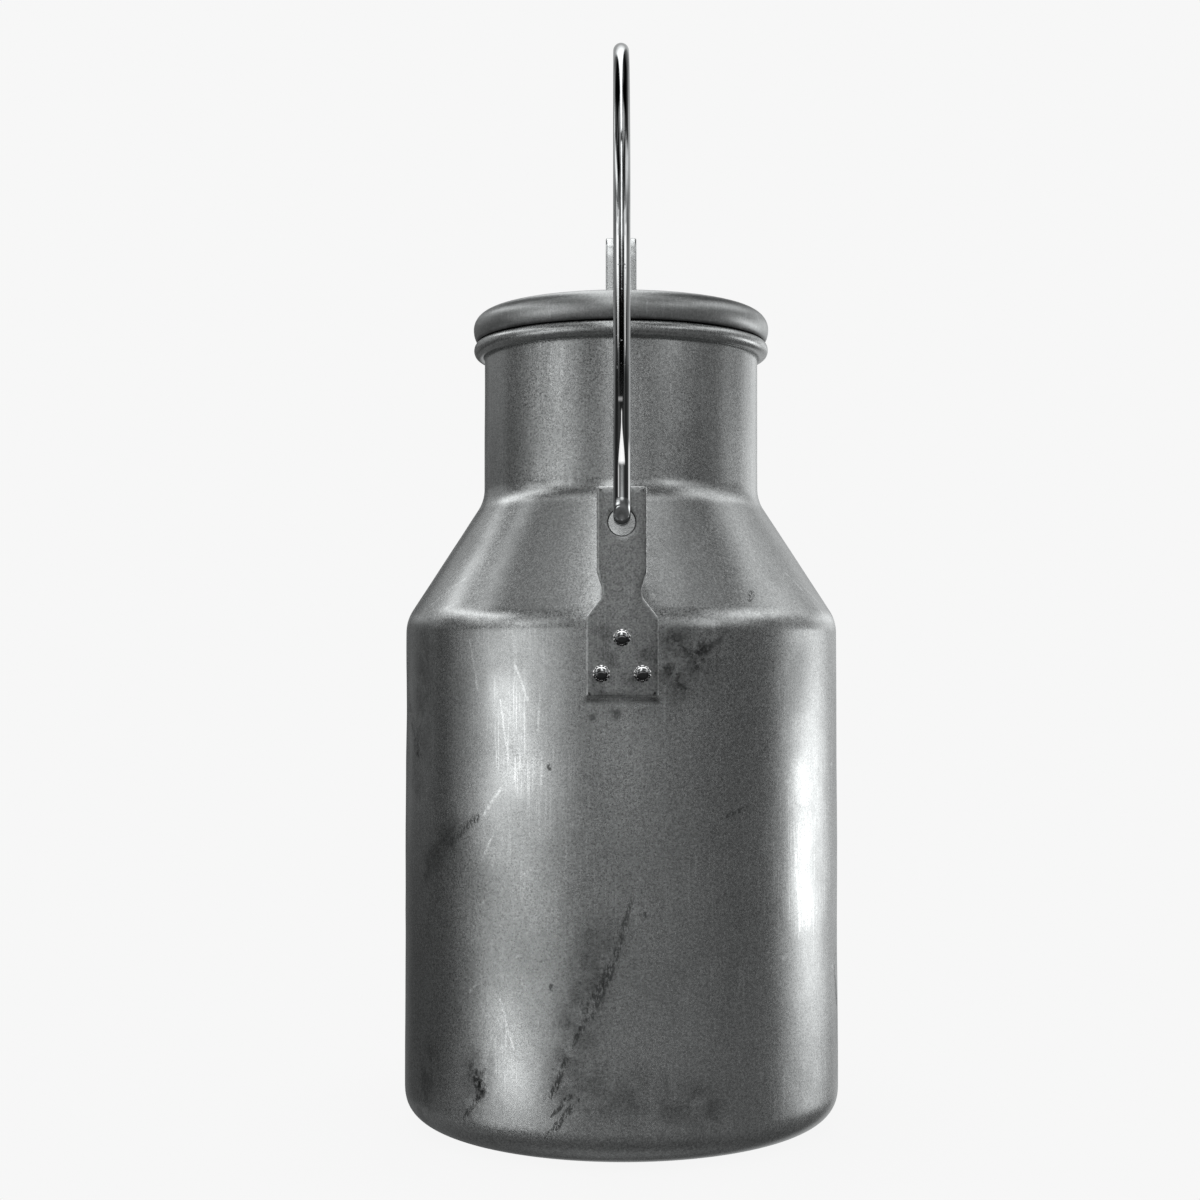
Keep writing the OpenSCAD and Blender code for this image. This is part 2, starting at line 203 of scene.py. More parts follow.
class Nodes:
    """Short ways to add shader nodes to one tree. A value may be a socket or a number."""

    def __init__(self, tree):
        self.tree = tree

    def node(self, kind, inputs=None, **settings):
        node = self.tree.nodes.new("ShaderNode" + kind)
        for key, value in settings.items():
            setattr(node, key, value)
        for key, value in (inputs or {}).items():
            if isinstance(value, bpy.types.NodeSocket):
                self.tree.links.new(value, node.inputs[key])
            else:
                node.inputs[key].default_value = value
        return node

    def math(self, operation, *values, clamp=False):
        return self.node("Math", dict(enumerate(values)), operation=operation,
                         use_clamp=clamp).outputs[0]

    def add(self, a, b):
        return self.math("ADD", a, b)

    def sub(self, a, b):
        return self.math("SUBTRACT", a, b)

    def mul(self, a, b):
        return self.math("MULTIPLY", a, b)

    def mul_add(self, value, factor, offset):
        return self.math("MULTIPLY_ADD", value, factor, offset)

    def gap(self, a, b):
        """How far apart two numbers are."""
        return self.math("ABSOLUTE", self.sub(a, b))

    def angle(self, a, b):
        return self.degrees(self.math("ARCTAN2", a, b))

    def degrees(self, radians):
        return self.mul(radians, 180 / math.pi)

    def plus(self, total, part, amount):
        return self.add(total, self.mul(part, amount))

    def boost(self, tone, mask, amount):
        """tone times 1 + amount where the mask is 1."""
        return self.mul(tone, self.mul_add(mask, amount, 1.0))

    def tint(self, tone, mask, level):
        """tone times level where the mask is 1."""
        return self.mul(tone, self.mixf(mask, off=1.0, on=level))

    def vector(self, operation, *values):
        node = self.node("VectorMath", dict(enumerate(values)), operation=operation)
        return node.outputs["Value" if operation in ("DOT_PRODUCT", "LENGTH") else "Vector"]

    def scale(self, vector, by):
        return self.node("VectorMath", {0: vector, "Scale": by}, operation="SCALE").outputs[0]

    def xyz(self, vector):
        return self.node("SeparateXYZ", {"Vector": vector}).outputs

    def rgb(self, colour):
        return self.node("SeparateColor", {"Color": colour}).outputs

    def painted(self, name):
        """The channels of a colour kept on the mesh."""
        return self.rgb(self.node("Attribute", attribute_name=name).outputs["Color"])

    def normal(self):
        return self.node("NewGeometry").outputs["Normal"]

    def map_range(self, value, over, to, **settings):
        return self.node("MapRange", {"Value": value, "From Min": over[0], "From Max": over[1],
                                      "To Min": to[0], "To Max": to[1]}, **settings).outputs[0]

    def ease(self, value, over, to=(0.0, 1.0)):
        # a smooth step ends by itself, and a clamp would cost an extra node
        return self.map_range(value, over, to, interpolation_type="SMOOTHSTEP", clamp=False)

    def lin(self, value, over, to=(0.0, 1.0)):
        return self.map_range(value, over, to)

    def within(self, distance, half, edge):
        """1 nearer than half, 0 further out, with a soft edge."""
        return self.ease(distance, over=(half - edge, half + edge), to=FALL)

    def noise(self, vector, scale, detail=2.0, rough=0.5, warp=0.0, output="Fac"):
        return self.node("TexNoise", {"Vector": vector, "Scale": scale, "Detail": detail,
                                      "Roughness": rough, "Distortion": warp}).outputs[output]

    def mapping(self, vector, scale, rotation=(0.0, 0.0, 0.0)):
        return self.node("Mapping", {"Vector": vector, "Rotation": rotation,
                                     "Scale": scale}).outputs[0]

    def mix(self, factor, off, on):
        return self.node("Mix", {"Factor": factor, 6: off, 7: on}, data_type="RGBA").outputs[2]

    def mixf(self, factor, off, on):
        return self.node("Mix", {"Factor": factor, 2: off, 3: on}, data_type="FLOAT").outputs[0]

    def stroke(self, pos, start, end, width0, width1, soft):
        """1 on the straight stroke from start to end (mm), width0 wide at the start and width1
        at the end, and 0 away from it."""
        start = Vector(start)
        run = Vector(end) - start
        offset = self.vector("SUBTRACT", pos, tuple(start))
        along = self.vector("DOT_PRODUCT", offset, tuple(run / run.length_squared))
        along = self.math("MINIMUM", self.math("MAXIMUM", along, 0.0), 1.0)
        nearest = self.scale(tuple(run), along)
        distance = self.vector("LENGTH", self.vector("SUBTRACT", offset, nearest))
        width = self.mul_add(along, width1 - width0, width0)
        return self.ease(self.math("DIVIDE", distance, width), over=(soft, 1.0), to=FALL)

    def strokes(self, pos, rows, soft):
        return self.most([self.stroke(pos, *row, soft) for row in rows])

    def most(self, items):
        out = items[0]
        for item in items[1:]:
            out = self.math("MAXIMUM", out, item)
        return out


def fresh_nodes(owner):
    owner.use_nodes = True
    owner.node_tree.nodes.clear()
    return Nodes(owner.node_tree)


def new_material(name):
    """A material, its nodes and its object coordinates in metres."""
    mat = bpy.data.materials.new(name)
    net = fresh_nodes(mat)
    return mat, net, net.node("TexCoord").outputs["Object"]


def finish_material(net, colour, rough, height, metallic, bump_mm, extra=None):
    bump = net.node("Bump", {"Height": height, "Strength": 1.0, "Distance": bump_mm * 0.001})
    shader = net.node("BsdfPrincipled", {"Base Color": colour, "Roughness": rough,
                                         "Metallic": metallic, "Normal": bump.outputs[0],
                                         **(extra or {})})
    net.node("OutputMaterial", {"Surface": shader.outputs[0]})


# ------------------------------------------------------------------ worn aluminium
# Rotation and scale of the stretched noise behind each set of fine scratches
SCRATCH_SETS = [((0.25, 0.4, 0.0), (0.8, 0.8, 0.02)), ((-0.5, 0.2, 0.3), (0.65, 0.65, 0.03)),
                ((0.1, -0.9, 0.0), (0.7, 0.7, 0.035))]
SCUFF_TONE = 0.35      # how dark a full scuff is


def hair_scratches(net, pos):
    """Long thin scratches in three directions, kept to streaky regions."""
    sets = []
    for k, (rotation, scale) in enumerate(SCRATCH_SETS):
        stretched = net.mapping(pos, scale=scale, rotation=rotation)
        hair = net.ease(net.noise(stretched, scale=1.0, detail=1.0),
                        over=(0.62 + 0.01 * k, 0.70 + 0.01 * k))
        region = net.ease(net.noise(pos, scale=0.018 + 0.006 * k, detail=1.0),
                          over=(0.44, 0.58))
        sets.append(net.mul(hair, region))
    return net.most(sets)


def placed_marks(net, mm, pos, tone, rough, marks, patchy, fine):
    """Broken dark scuffs, dark spots and fine bright scratches where the tables put them."""
    streaks, spots, shine = marks
    wobble = net.noise(pos, scale=0.25, detail=3.0, rough=0.6, output="Color")
    wobble = net.vector("SUBTRACT", wobble, (0.5, 0.5, 0.5))

    shaken = net.vector("ADD", mm, net.scale(wobble, by=2.4))
    dashes = net.mapping(pos, scale=(1.5, 1.5, 0.5), rotation=(0.0, -0.28, 0.0))
    broken = net.plus(net.noise(dashes, scale=0.8, rough=0.7), patchy, amount=0.40)
    broken = net.ease(broken, over=(0.64, 0.73))
    scuff = net.mul(net.strokes(shaken, streaks, soft=0.5), broken)
    tone = net.tint(tone, scuff, level=SCUFF_TONE)
    rough = net.plus(rough, scuff, amount=0.18)

    shaken = net.vector("ADD", mm, net.scale(wobble, by=4.0))
    spot = net.mul(net.strokes(shaken, spots, soft=0.35), net.ease(fine, over=(0.36, 0.50)))
    tone = net.tint(tone, spot, level=SCUFF_TONE * 1.1)
    rough = net.plus(rough, spot, amount=0.15)

    shaken = net.vector("ADD", mm, net.scale(wobble, by=1.4))
    bright = net.mul(net.strokes(shaken, shine, soft=0.1), net.ease(fine, over=(0.34, 0.58)))
    return net.tint(tone, bright, level=1.5), rough


def wear_and_painted_light_bands(net, mm, tone, bands, cloud, patchy):
    """Painted light along heights: a level above 1 is a painted highlight, partly rubbed metal,
    and one below 1 is painted shade.
    """
    z = net.xyz(mm)["Z"]
    for middle, half, level in bands:
        ragged = net.add(z, net.mul(net.sub(patchy, 0.5), half * 1.2))
        band = net.ease(net.gap(ragged, middle), over=(0.0, half), to=FALL)
        if level > 1:
            band = net.mul(band, net.ease(cloud, over=(0.26, 0.50)))
        tone = net.tint(tone, band, level)
    return tone


def rim_wear_and_highlight(net, obj, tone, amount):
    """Edges that don't face straight out are rubbed bright, and a painted highlight makes those
    facing up brighter still.
    """
    outward = net.vector("NORMALIZE", net.vector("MULTIPLY", obj, (1.0, 1.0, 0.0)))
    normal = net.normal()
    facing = net.vector("DOT_PRODUCT", normal, outward)
    up = net.math("MAXIMUM", net.xyz(normal)["Z"], 0.0)
    edge = net.mul(net.ease(facing, over=(0.45, 0.975), to=FALL), net.mul_add(up, 1.6, 1.0))
    return net.boost(tone, edge, amount)


def worn_metal(name, brightness, rough, grain, stain, seed, bump=0.010, painted=False,
               marks=None, dirt=(), bands=(), rim=0.0, painted_shadows=()):
    """Dull worn aluminium: sandy grain, cloudy oxide, dirt flecks and fine scratches.
    painted reads the mesh's own wear zones. marks holds the rows of streaks, spots and shine.
    bands: middle height, half height, level, for painted highlight or shade. The painted
    shadows: stroke, softness, depth."""
    mat, net, obj = new_material(name)
    mm = net.scale(obj, by=1000.0)
    pos = net.vector("ADD", mm, (seed * 37.0, seed * 91.0, seed * 13.0))

    # sandy grain, about half a millimetre
    cells = net.node("TexVoronoi", {"Vector": pos, "Scale": 1.75, "Randomness": 1.0},
                     feature="F1")
    sand = net.rgb(cells.outputs["Color"])[0]
    soft_grain = net.noise(pos, scale=1.15, detail=1.0)
    sandy = net.add(net.mul(net.sub(sand, 0.5), 0.60), net.mul(net.sub(soft_grain, 0.5), 0.9))
    # cloudy oxide
    cloud = net.noise(pos, scale=0.022, detail=4.0, rough=0.62, warp=0.3)
    patchy = net.noise(pos, scale=0.085, detail=5.0, rough=0.7, warp=0.2)
    oxide = net.ease(cloud, over=(0.40, 0.68))
    speck = net.ease(patchy, over=(0.52, 0.72))
    # dark flecks, mostly where there is dirt
    fine = net.noise(pos, scale=0.42, detail=4.0, rough=0.72)
    fleck = net.ease(fine, over=(0.58, 0.67))
    where = net.mul(net.ease(cloud, over=(0.62, 0.74)), 0.25)
    grime = None
    if painted:
        grime, polish, blotch = net.painted("wear")[:3]
    elif dirt:
        grime = net.strokes(mm, dirt, soft=0.0)
    if grime is not None:
        where = net.math("MAXIMUM", where, grime)
    flecks = net.mul(fleck, where)
    hair = hair_scratches(net, pos)

    tone = net.mul_add(sandy, grain, 1.0)
    tone = net.mul(tone, net.mixf(net.mul(oxide, stain), off=1.03, on=0.80))
    tone = net.mul(tone, net.mixf(net.mul(speck, stain * 0.7), off=1.02, on=0.84))
    tone = net.tint(tone, flecks, level=0.55)
    hair_level = 1.20
    if painted:
        # polished zones are lighter and smoother, with more of the scratches showing
        rubbed = net.mul(polish, net.lin(patchy, over=(0.30, 0.62), to=(1.15, 0.75)))
        tone = net.boost(tone, rubbed, amount=0.46)
        hair_level = net.mul_add(polish, 0.25, 1.18)
        blotched = net.mul(blotch, net.mul(net.ease(fine, over=(0.42, 0.58)), 0.66))
        tone = net.mul(tone, net.sub(1.0, blotched))
    if grime is not None:
        grimy = net.mul(net.mul(grime, net.ease(patchy, over=(0.34, 0.60))), 0.42)
        tone = net.mul(tone, net.sub(1.0, grimy))
    tone = net.tint(tone, hair, hair_level)

    rough = net.plus(rough, sandy, amount=0.10)
    rough = net.plus(rough, oxide, amount=0.05 * stain)
    rough = net.plus(rough, flecks, amount=0.15)
    if painted:
        rough = net.sub(rough, net.mul(polish, 0.035))
    if marks:
        tone, rough = placed_marks(net, mm, pos, tone, rough, marks, patchy, fine)
    rough = net.math("MAXIMUM", rough, 0.05, clamp=True)
    # painted highlights and painted shade along heights
    if bands:
        tone = wear_and_painted_light_bands(net, mm, tone, bands, cloud, patchy)
    # edges rubbed bright, with a painted highlight where they face up
    if rim:
        tone = rim_wear_and_highlight(net, obj, tone, rim)
    # painted shadows, darker along each stroke
    for *stroke, soft, depth in painted_shadows:
        tone = net.boost(tone, net.stroke(mm, *stroke, soft), -depth)
    base = (brightness * 0.985, brightness, brightness * 0.995)
    finish_material(net, net.scale(base, by=tone), rough, soft_grain, 1.0, bump)
    return mat


# Rows of marks and wear zones on the metal, in mm: point, point, width there, width there
STREAKS = [
    ((4.5, -109.9, 123.2), (-0.5, -110, 105.1), 1.3, 1.8),
    ((-0.5, -110, 105.1), (-6.4, -109.8, 88), 2.1, 3.1),
    ((-4.5, -109.9, 93.8), (-14.5, -109, 72.5), 3.1, 4.6),
    ((-14.5, -109, 72.5), (-22.7, -107.6, 56.8), 2.1, 1.5),
    ((-25.5, -107, 50.4), (-31.9, -105.3, 33.7), 1.5, 1.8),
    ((-20, -108.2, 33.5), (-30, -105.8, 19.4), 1.5, 2.1),
    ((-23.6, -107.4, 34.3), (-31.9, -105.3, 24.7), 1.3, 1.3),
    ((-27.7, -106.4, 24.1), (-34.6, -104.1, 14.5), 1.3, 1.3),
    ((-68.2, -86.3, 158.3), (-80.3, -75.1, 146), 3.1, 2.6),
    ((-80.3, -75.1, 146), (-86.7, -67.7, 137.6), 1.5, 1.5),
    ((-66.9, -87.3, 28.6), (-73.8, -81.5, 17.9), 2.1, 1.5),
    ((-31.9, -105.3, 84), (-32.4, -105.1, 82.1), 1.2, 1.2),
    ((10.9, -109.5, 117.3), (10.9, -109.5, 115.9), 1.4, 1.4),
    ((70.6, -84.4, 231.2), (71.1, -84, 227.4), 1.6, 1.4),
    ((68.4, -86.1, 193.8), (66.9, -87.3, 190.1), 1.4, 1.1),
    ((48.4, -98.8, 159.9), (59.5, -92.5, 164.4), 1.5, 1.3),
    ((106.1, -29.2, 79.3), (107.6, -23, 62), 2.6, 3.1),
    ((61.4, -82.1, 263.7), (59.7, -86, 260.3), 2.6, 1.5),
    # on the rear half
    ((96, 54, 150), (84, 71, 118), 2.4, 4), ((-60, 92.2, 96), (-42, 101.7, 60), 3.6, 2),
    ((30, 105.8, 190), (44, 100.8, 168), 2, 2.6),
]
SPOTS = [
    ((-2.7, -110, 208), (-2.7, -110, 207.1), 3.6, 3.6),
    ((-13.2, -109.2, 206.2), (-13.2, -109.2, 205.7), 2.3, 2.3),
    ((-33.4, -104.8, 183.6), (-33.4, -104.8, 182.7), 1.6, 1.6),
    ((34.5, -104.5, 234.4), (45.3, -100.2, 241.4), 3, 2.6),
    ((-66.9, -87.3, 37), (-65.2, -88.5, 31), 4, 2.6),
]
SHINE = [
    ((-56.5, -94.4, 172.4), (-64.2, -89.3, 159.9), 1.5, 1.3),
    ((-60.3, -92, 150.4), (-65.2, -88.6, 139), 1, 1),
    ((77, -78.5, 174.6), (104.3, -34.9, 180.7), 1.4, 1.4),
    ((75.7, -79.8, 92.3), (106, -29.3, 80), 2, 2),
    ((-106.9, -25.9, 73.6), (-76.1, -79.5, 91.1), 1.2, 1),
    ((-71, -84, 77.9), (-46.8, -99.5, 96.7), 1, 0.9),
    ((-93.6, -49.3, 258.5), (-75, -62.1, 271.7), 1.1, 0.9),
    ((-87.5, -63, 255.3), (-66.2, -76.9, 265.3), 1, 0.9),
    ((87.8, -44.7, 269.9), (97.4, -37.6, 260.8), 1.4, 1.1),
    ((80.3, -51.9, 274.5), (98.8, -42.6, 255.7), 1, 0.9),
    ((-49.4, -98.3, 229.8), (-43.2, -101.2, 213.7), 1, 1),
    ((-56.3, -94.5, 75.2), (-49.6, -98.2, 53), 1, 1),
    ((-56.5, -94.4, 213.6), (-52.7, -96.6, 185.9), 1, 0.9),
    ((82.7, -72.5, 142.1), (84.7, -70.2, 104), 1.2, 1.2),
    ((-42.2, -101.6, 135.8), (-66.1, -87.9, 118), 1, 0.9),
    ((-71.4, -83.7, 241.6), (-67.3, -87, 218.1), 1.1, 1.1),
    ((64, 89.5, 206), (90, 63.2, 190), 1.4, 1.2),
    ((-90, 63.2, 150), (-70, 84.9, 128), 1.3, 1.3),
]
BLOTCH = [
    ((36.8, -103.7, 238.6), (34, -104.6, 228.5), 6.5, 5.4),
    ((22.9, -107.6, 241.3), (31.2, -105.5, 236.7), 7, 5.4),
    ((21.1, -108, 228.5), (28.4, -106.3, 218.4), 5.4, 5),
    ((-68.9, -85.8, 40.2), (-64.9, -88.8, 32.6), 9, 7),
    ((-98, 50, 200), (-101, 43.6, 186), 6, 4.4), ((-105, -32, 208), (-99, -47, 186), 8, 7),
    ((-60, 92.2, 60), (-50, 98, 48), 8, 6),
]
POLISH = [    # rubbed smooth
    ((-53, -96.4, 216), (-47, -99.5, 182), 17, 21), ((-57, -94, 66), (-50, -98, 40), 19, 22),
    ((84, -71, 176), (86, -68.6, 112), 15, 17), ((70, 84.9, 150), (60, 92.2, 110), 26, 20),
    ((-80, 75.5, 70), (-70, 84.9, 50), 20, 20),
]
DULL = [    # duller than the rest
    ((-60, -92.2, 126), (-46, -99.9, 100), 22, 22), ((86, -68.6, 232), (84, -71, 214), 18, 16),
]
DIRT = [
    ((-95.5, -54.6, 237), (-100.8, -44, 173.3), 19, 15),
    ((31.2, -105.5, 236.7), (17.4, -108.6, 218.5), 30, 20),
    ((-28.2, -106.3, 39), (35.5, -104.1, 29.5), 17.5, 20.6),
    ((10.6, -104.6, 259.7), (10.5, -109.5, 213.9), 15, 13),
    ((-78.8, -76.7, 151.8), (-95.1, -55.3, 130.5), 14, 11),
    ((-65.9, -88.1, 41.7), (-70.8, -84.2, 22.3), 18, 13),
    ((-10, -109.5, 105.1), (-28.2, -106.3, 41.2), 18, 17),
    ((-91.9, -60.4, 40.3), (-97.8, -49.7, 14), 16, 14),
    ((107, -25, 84), (107.5, -22, 30), 9, 12), ((60, 92.2, 60), (20, 108.2, 40), 26, 20),
    ((-96, 54, 100), (-104, 36, 60), 24, 18),
]
LUG_DIRT = [
    ((-12, -112, 220), (13, -112, 226), 11, 15), ((10, -112.5, 236), (15, -112, 224), 9, 12),
    ((-9, -112.5, 244), (-4, -113, 232), 8, 8), ((0, 113, 222), (10, 112.5, 240), 12, 10),
]
# Painted shadows, the same rows with softness and depth added: under each lug's foot, and on the
# shoulder behind the front lug's hole
BODY_PAINTED_SHADOWS = [    # below the foot of each lug, and high on the front of the shoulder
    ((-15.6, -109, 213.9), (15.6, -109, 213.9), 2.7, 2.7, 0.0, 0.68),
    ((-15.6, 109, 213.9), (15.6, 109, 213.9), 2.7, 2.7, 0.0, 0.68),
    ((-2, -81, 298), (2, -81, 298), 14, 14, 0.0, 0.45),
]
# painted shade on the wall of each lug's hole
LUG_PAINTED_SHADE = [     # the wall of the hole in each lug
    ((0, -106, 295), (0, -113.2, 295), 6.85, 6.85, 0.95, 0.80),
    ((0, 106, 295), (0, 113.2, 295), 6.85, 6.85, 0.95, 0.80),
]
# painted highlight, partly rubbed metal, on the shoulder and neck fillets, and painted shade on
# the bead under the lid
BODY_WEAR_AND_LIGHT_BANDS = [(252.7, 3.8, 1.45), (310.4, 3.6, 1.28), (394.9, 1.3, 0.30)]

body_mat = worn_metal("worn_body", brightness=0.50, rough=0.265, grain=0.80, stain=0.55,
                      seed=1.0, painted=True, marks=(STREAKS, SPOTS, SHINE),
                      bands=BODY_WEAR_AND_LIGHT_BANDS, painted_shadows=BODY_PAINTED_SHADOWS)
# edges rubbed bright with a painted highlight on those facing up, and painted shade in the holes
lug_mat = worn_metal("worn_lug", brightness=0.37, rough=0.34, grain=1.0, stain=0.5, seed=2.0,
                     rim=1.1, dirt=LUG_DIRT, painted_shadows=LUG_PAINTED_SHADE)
# the band is painted shade on the lid's lip at the gap above the bead
lid_mat = worn_metal("worn_lid", brightness=0.46, rough=0.37, grain=0.42, stain=0.15, seed=3.0,
                     bands=[(395.3, 1.7, 0.30)], bump=0.005)
plug_mat = worn_metal("clean_plug", brightness=0.62, rough=0.26, grain=0.35, stain=0.3,
                      seed=4.0)
strap_mat = worn_metal("strap_metal", brightness=0.68, rough=0.29, grain=0.22, stain=0.15,
                       seed=5.0, bump=0.003)
strap_rivet_mat = worn_metal("strap_rivet_metal", brightness=0.66, rough=0.25, grain=0.3,
                             stain=0.3, seed=6.0)


def zone(points, rows):
    """How far each point (mm) lies inside soft capsules: 1 in the middle, 0 outside."""
    out = np.zeros(len(points))
    for start, end, width0, width1 in rows:
        start = np.array(start)
        run = np.array(end) - start
        along = np.clip((points - start) @ run / (run @ run), 0, 1)
        distance = np.linalg.norm(points - start - along[:, None] * run, axis=1)
        depth = np.clip(1 - distance / (width0 + (width1 - width0) * along), 0, 1)
        out = np.maximum(out, depth * depth * (3 - 2 * depth))
    return out


def paint_wear(ob):
    """Keeps the wear zones on the mesh: dirt, polish less dullness, blotches."""
    verts = ob.data.vertices
    points = np.empty(len(verts) * 3)
    verts.foreach_get("co", points)
    points = points.reshape(-1, 3) / MM
    points[:, 2] -= BASE / MM
    rgba = np.ones((len(points), 4), dtype=np.float32)
    rgba[:, 0] = zone(points, DIRT)
    rgba[:, 1] = zone(points, POLISH) - 0.45 * zone(points, DULL)
    rgba[:, 2] = zone(points, BLOTCH)
    paint(ob, "wear", rgba.ravel())


# ------------------------------------------------------------------ bright plated steel
# Painted reflections, patches of the mirror image drawn into the colour: strength, then twice
# which way, middle, half, edge. az and el are the azimuth and elevation of the reflection, along
# its angle up from -Y over the top, all in degrees. x is its x, and side is x without its sign.
PAINTED_DARK_PATCHES = [     # darkened to this level
    (0.40, "az", 0, 100, 10, "el", 6.6, 2.4, 0.4),
    (0.22, "az", -23, 5, 1.6, "el", 10.6, 2, 0.4),
    (0.22, "az", 21, 5, 1.6, "el", 10.6, 2, 0.4),
    (0.55, "az", 0, 17, 3, "el", 9.7, 1.5, 0.3),
    (0.30, "side", 0.39, 0.07, 0.03, "along", 26, 12, 2),
    (0.07, "x", -0.58, 0.18, 0.04, "along", 62, 14, 3),
    (0.15, "x", 0.48, 0.13, 0.04, "along", 54, 14, 3),
    (0.20, "side", 0.55, 0.10, 0.04, "along", 85, 9, 3),
    (0.04, "side", 0.53, 0.27, 0.04, "along", 110, 22, 3),
]
PAINTED_GLINTS = [    # lit this strongly
    (0.85, "az", -53, 4, 1.5, "el", 11.7, 2, 0.4),
    (0.42, "az", -68, 11, 7, "el", 14.5, 3, 0.9),
    (0.85, "az", 44, 4, 1.5, "el", 11.6, 2.1, 0.4),
    (0.36, "az", 56, 11, 7, "el", 14.5, 3, 0.9),
    (0.26, "az", -20, 28, 6, "el", 8, 0.06, 0.05),
    (0.50, "az", -45, 8, 3, "el", 5.2, 0.8, 0.2),
    (0.60, "az", 110, 12, 5, "el", 5.4, 1.2, 0.3),
]


def facing_shade_and_glint_look(net, tone, spots):
    """Painted shade on everything that doesn't face upwards, and a painted glint, glowing, on
    what does.
    """
    up = net.xyz(net.normal())["Z"]
    tone = net.mul(tone, net.ease(up, over=(-0.10, 0.45), to=(0.14, 1.0)))
    flange, tip = net.painted("flange")[:2]
    side = net.math("ABSOLUTE", net.xyz(net.normal())["X"])
    facing = net.math("MAXIMUM", up, net.mul(net.mul(side, flange), 0.98))
    facing = net.mul(facing, net.ease(up, over=(-0.25, -0.02)))
    glow = net.mul(net.ease(facing, over=(0.60, 0.68)), net.mul(net.sub(1.0, spots), 1.25))
    glow = net.mul(glow, net.ease(tip, over=(0.30, 0.75)))
    # painted shade in the notches of the flange
    tone = net.mul(tone, net.ease(tip, over=(0.10, 0.75), to=(0.25, 1.0)))
    return tone, glow


def painted_reflection_look(net, tone, spots):
    """Painted reflections: glowing strip lights and black flags drawn into the colour, placed by
    the direction of the reflection.
    """
    ref = net.xyz(net.node("TexCoord").outputs["Reflection"])
    x, z, front = ref["X"], ref["Z"], net.mul(ref["Y"], -1.0)
    ways = {"az": net.angle(x, front), "el": net.degrees(net.math("ARCSINE", z)),
            "along": net.angle(z, front), "side": net.math("ABSOLUTE", x), "x": x}

    def patch(way0, middle0, half0, edge0, way1, middle1, half1, edge1):
        across = net.within(net.gap(ways[way0], middle0), half0, edge0)
        return net.mul(across, net.within(net.gap(ways[way1], middle1), half1, edge1))

    for level, *row in PAINTED_DARK_PATCHES:
        tone = net.boost(tone, patch(*row), level - 1.0)
    # a painted reflection: a glowing wedge of light low down, wider towards the bottom
    half = net.ease(ways["el"], over=(5.9, 7.4), to=(44.0, 5.0))
    across = net.sub(net.math("ABSOLUTE", net.add(ways["az"], 4.0)), half)
    glow = net.mul(net.ease(across, over=(-4.0, 4.0), to=(0.85, 0.0)),
                   net.ease(net.gap(ways["el"], 6.85), over=(0.72, 0.90), to=FALL))
    for power, *row in PAINTED_GLINTS:
        glow = net.math("MAXIMUM", glow, net.mul(patch(*row), power))
    return tone, net.mul(glow, net.sub(1.0, spots))


def chrome(name, seed, pits, base, look):
    """Bright plated steel, pitted and drawn lengthwise."""
    mat, net, obj = new_material(name)
    mat.cycles.emission_sampling = "NONE"
    mm = net.scale(obj, by=1000.0)
    pos = net.vector("ADD", mm, (seed * 11.0, seed * 5.0, seed * 7.0))
    fine = net.noise(pos, scale=1.6)
    haze = net.noise(pos, scale=0.09, detail=4.0, rough=0.6)
    pit = net.ease(net.noise(pos, scale=0.75), over=(0.66, 0.72))
    spots = net.mul(pit, net.ease(net.noise(pos, scale=0.05), over=(0.50, 0.62)))
    spots = net.mul(spots, pits)
    drawn = net.mapping(pos, scale=(2.4, 2.4, 0.05))
    lines = net.noise(drawn, scale=1.0, detail=3.0, rough=0.55)
    rough = net.plus(0.04, net.ease(haze, over=(0.48, 0.75)), amount=0.06)
    rough = net.plus(rough, spots, amount=0.35)
    tone = net.mixf(spots, off=base, on=base * 0.25)
    tone = net.tint(tone, net.ease(haze, over=(0.4, 0.8)), level=0.86)
    tone = net.mul(tone, net.lin(lines, over=(0.3, 0.7), to=(0.88, 1.08)))
    # the look paints light into the colour: painted shade or reflections, and a painted glow
    tone, glow = look(net, tone, spots)
    colour = net.scale((0.985, 1.0, 1.005), by=tone)
    height = net.add(net.mul(lines, 0.8), net.add(net.mul(fine, 0.35), net.mul(spots, -1.5)))
    painted_glow_colour = net.node("CombineColor", {0: glow, 1: glow, 2: glow}).outputs[0]
    finish_material(net, colour, rough, height, metallic=1.0, bump_mm=0.012,
                    extra={"Emission Color": painted_glow_colour, "Emission Strength": 1.0})
    return mat


bail_mat = chrome("chrome_bail", seed=1.0, pits=0.7, base=0.58, look=painted_reflection_look)
rivet_mat = chrome("chrome_rivet", seed=3.0, pits=0.3, base=0.60, look=facing_shade_and_glint_look)


def seal_rubber():
    mat, net, obj = new_material("seal_rubber")
    pos = net.scale(obj, by=1000.0)
    grain = net.noise(pos, scale=1.2, detail=3.0, rough=0.6)
    cloud = net.noise(pos, scale=0.08, detail=4.0, rough=0.6)
    colour = net.mix(net.ease(cloud, over=(0.4, 0.7)),
                     off=(0.012, 0.012, 0.012, 1), on=(0.028, 0.028, 0.027, 1))
    finish_material(net, colour, net.lin(grain, over=(0.3, 0.7), to=(0.55, 0.8)), grain,
                    metallic=0.0, bump_mm=0.05)
    return mat


def core_steel():
    mat, net, obj = new_material("core_wire_steel")
    pos = net.scale(obj, by=1000.0)
    grain = net.noise(pos, scale=1.0, detail=3.0, rough=0.6)
    colour = net.mix(net.ease(grain, over=(0.4, 0.7)),
                     off=(0.42, 0.41, 0.40, 1), on=(0.30, 0.28, 0.26, 1))
    finish_material(net, colour, net.lin(grain, over=(0.3, 0.7), to=(0.3, 0.5)), grain,
                    metallic=1.0, bump_mm=0.02)
    return mat


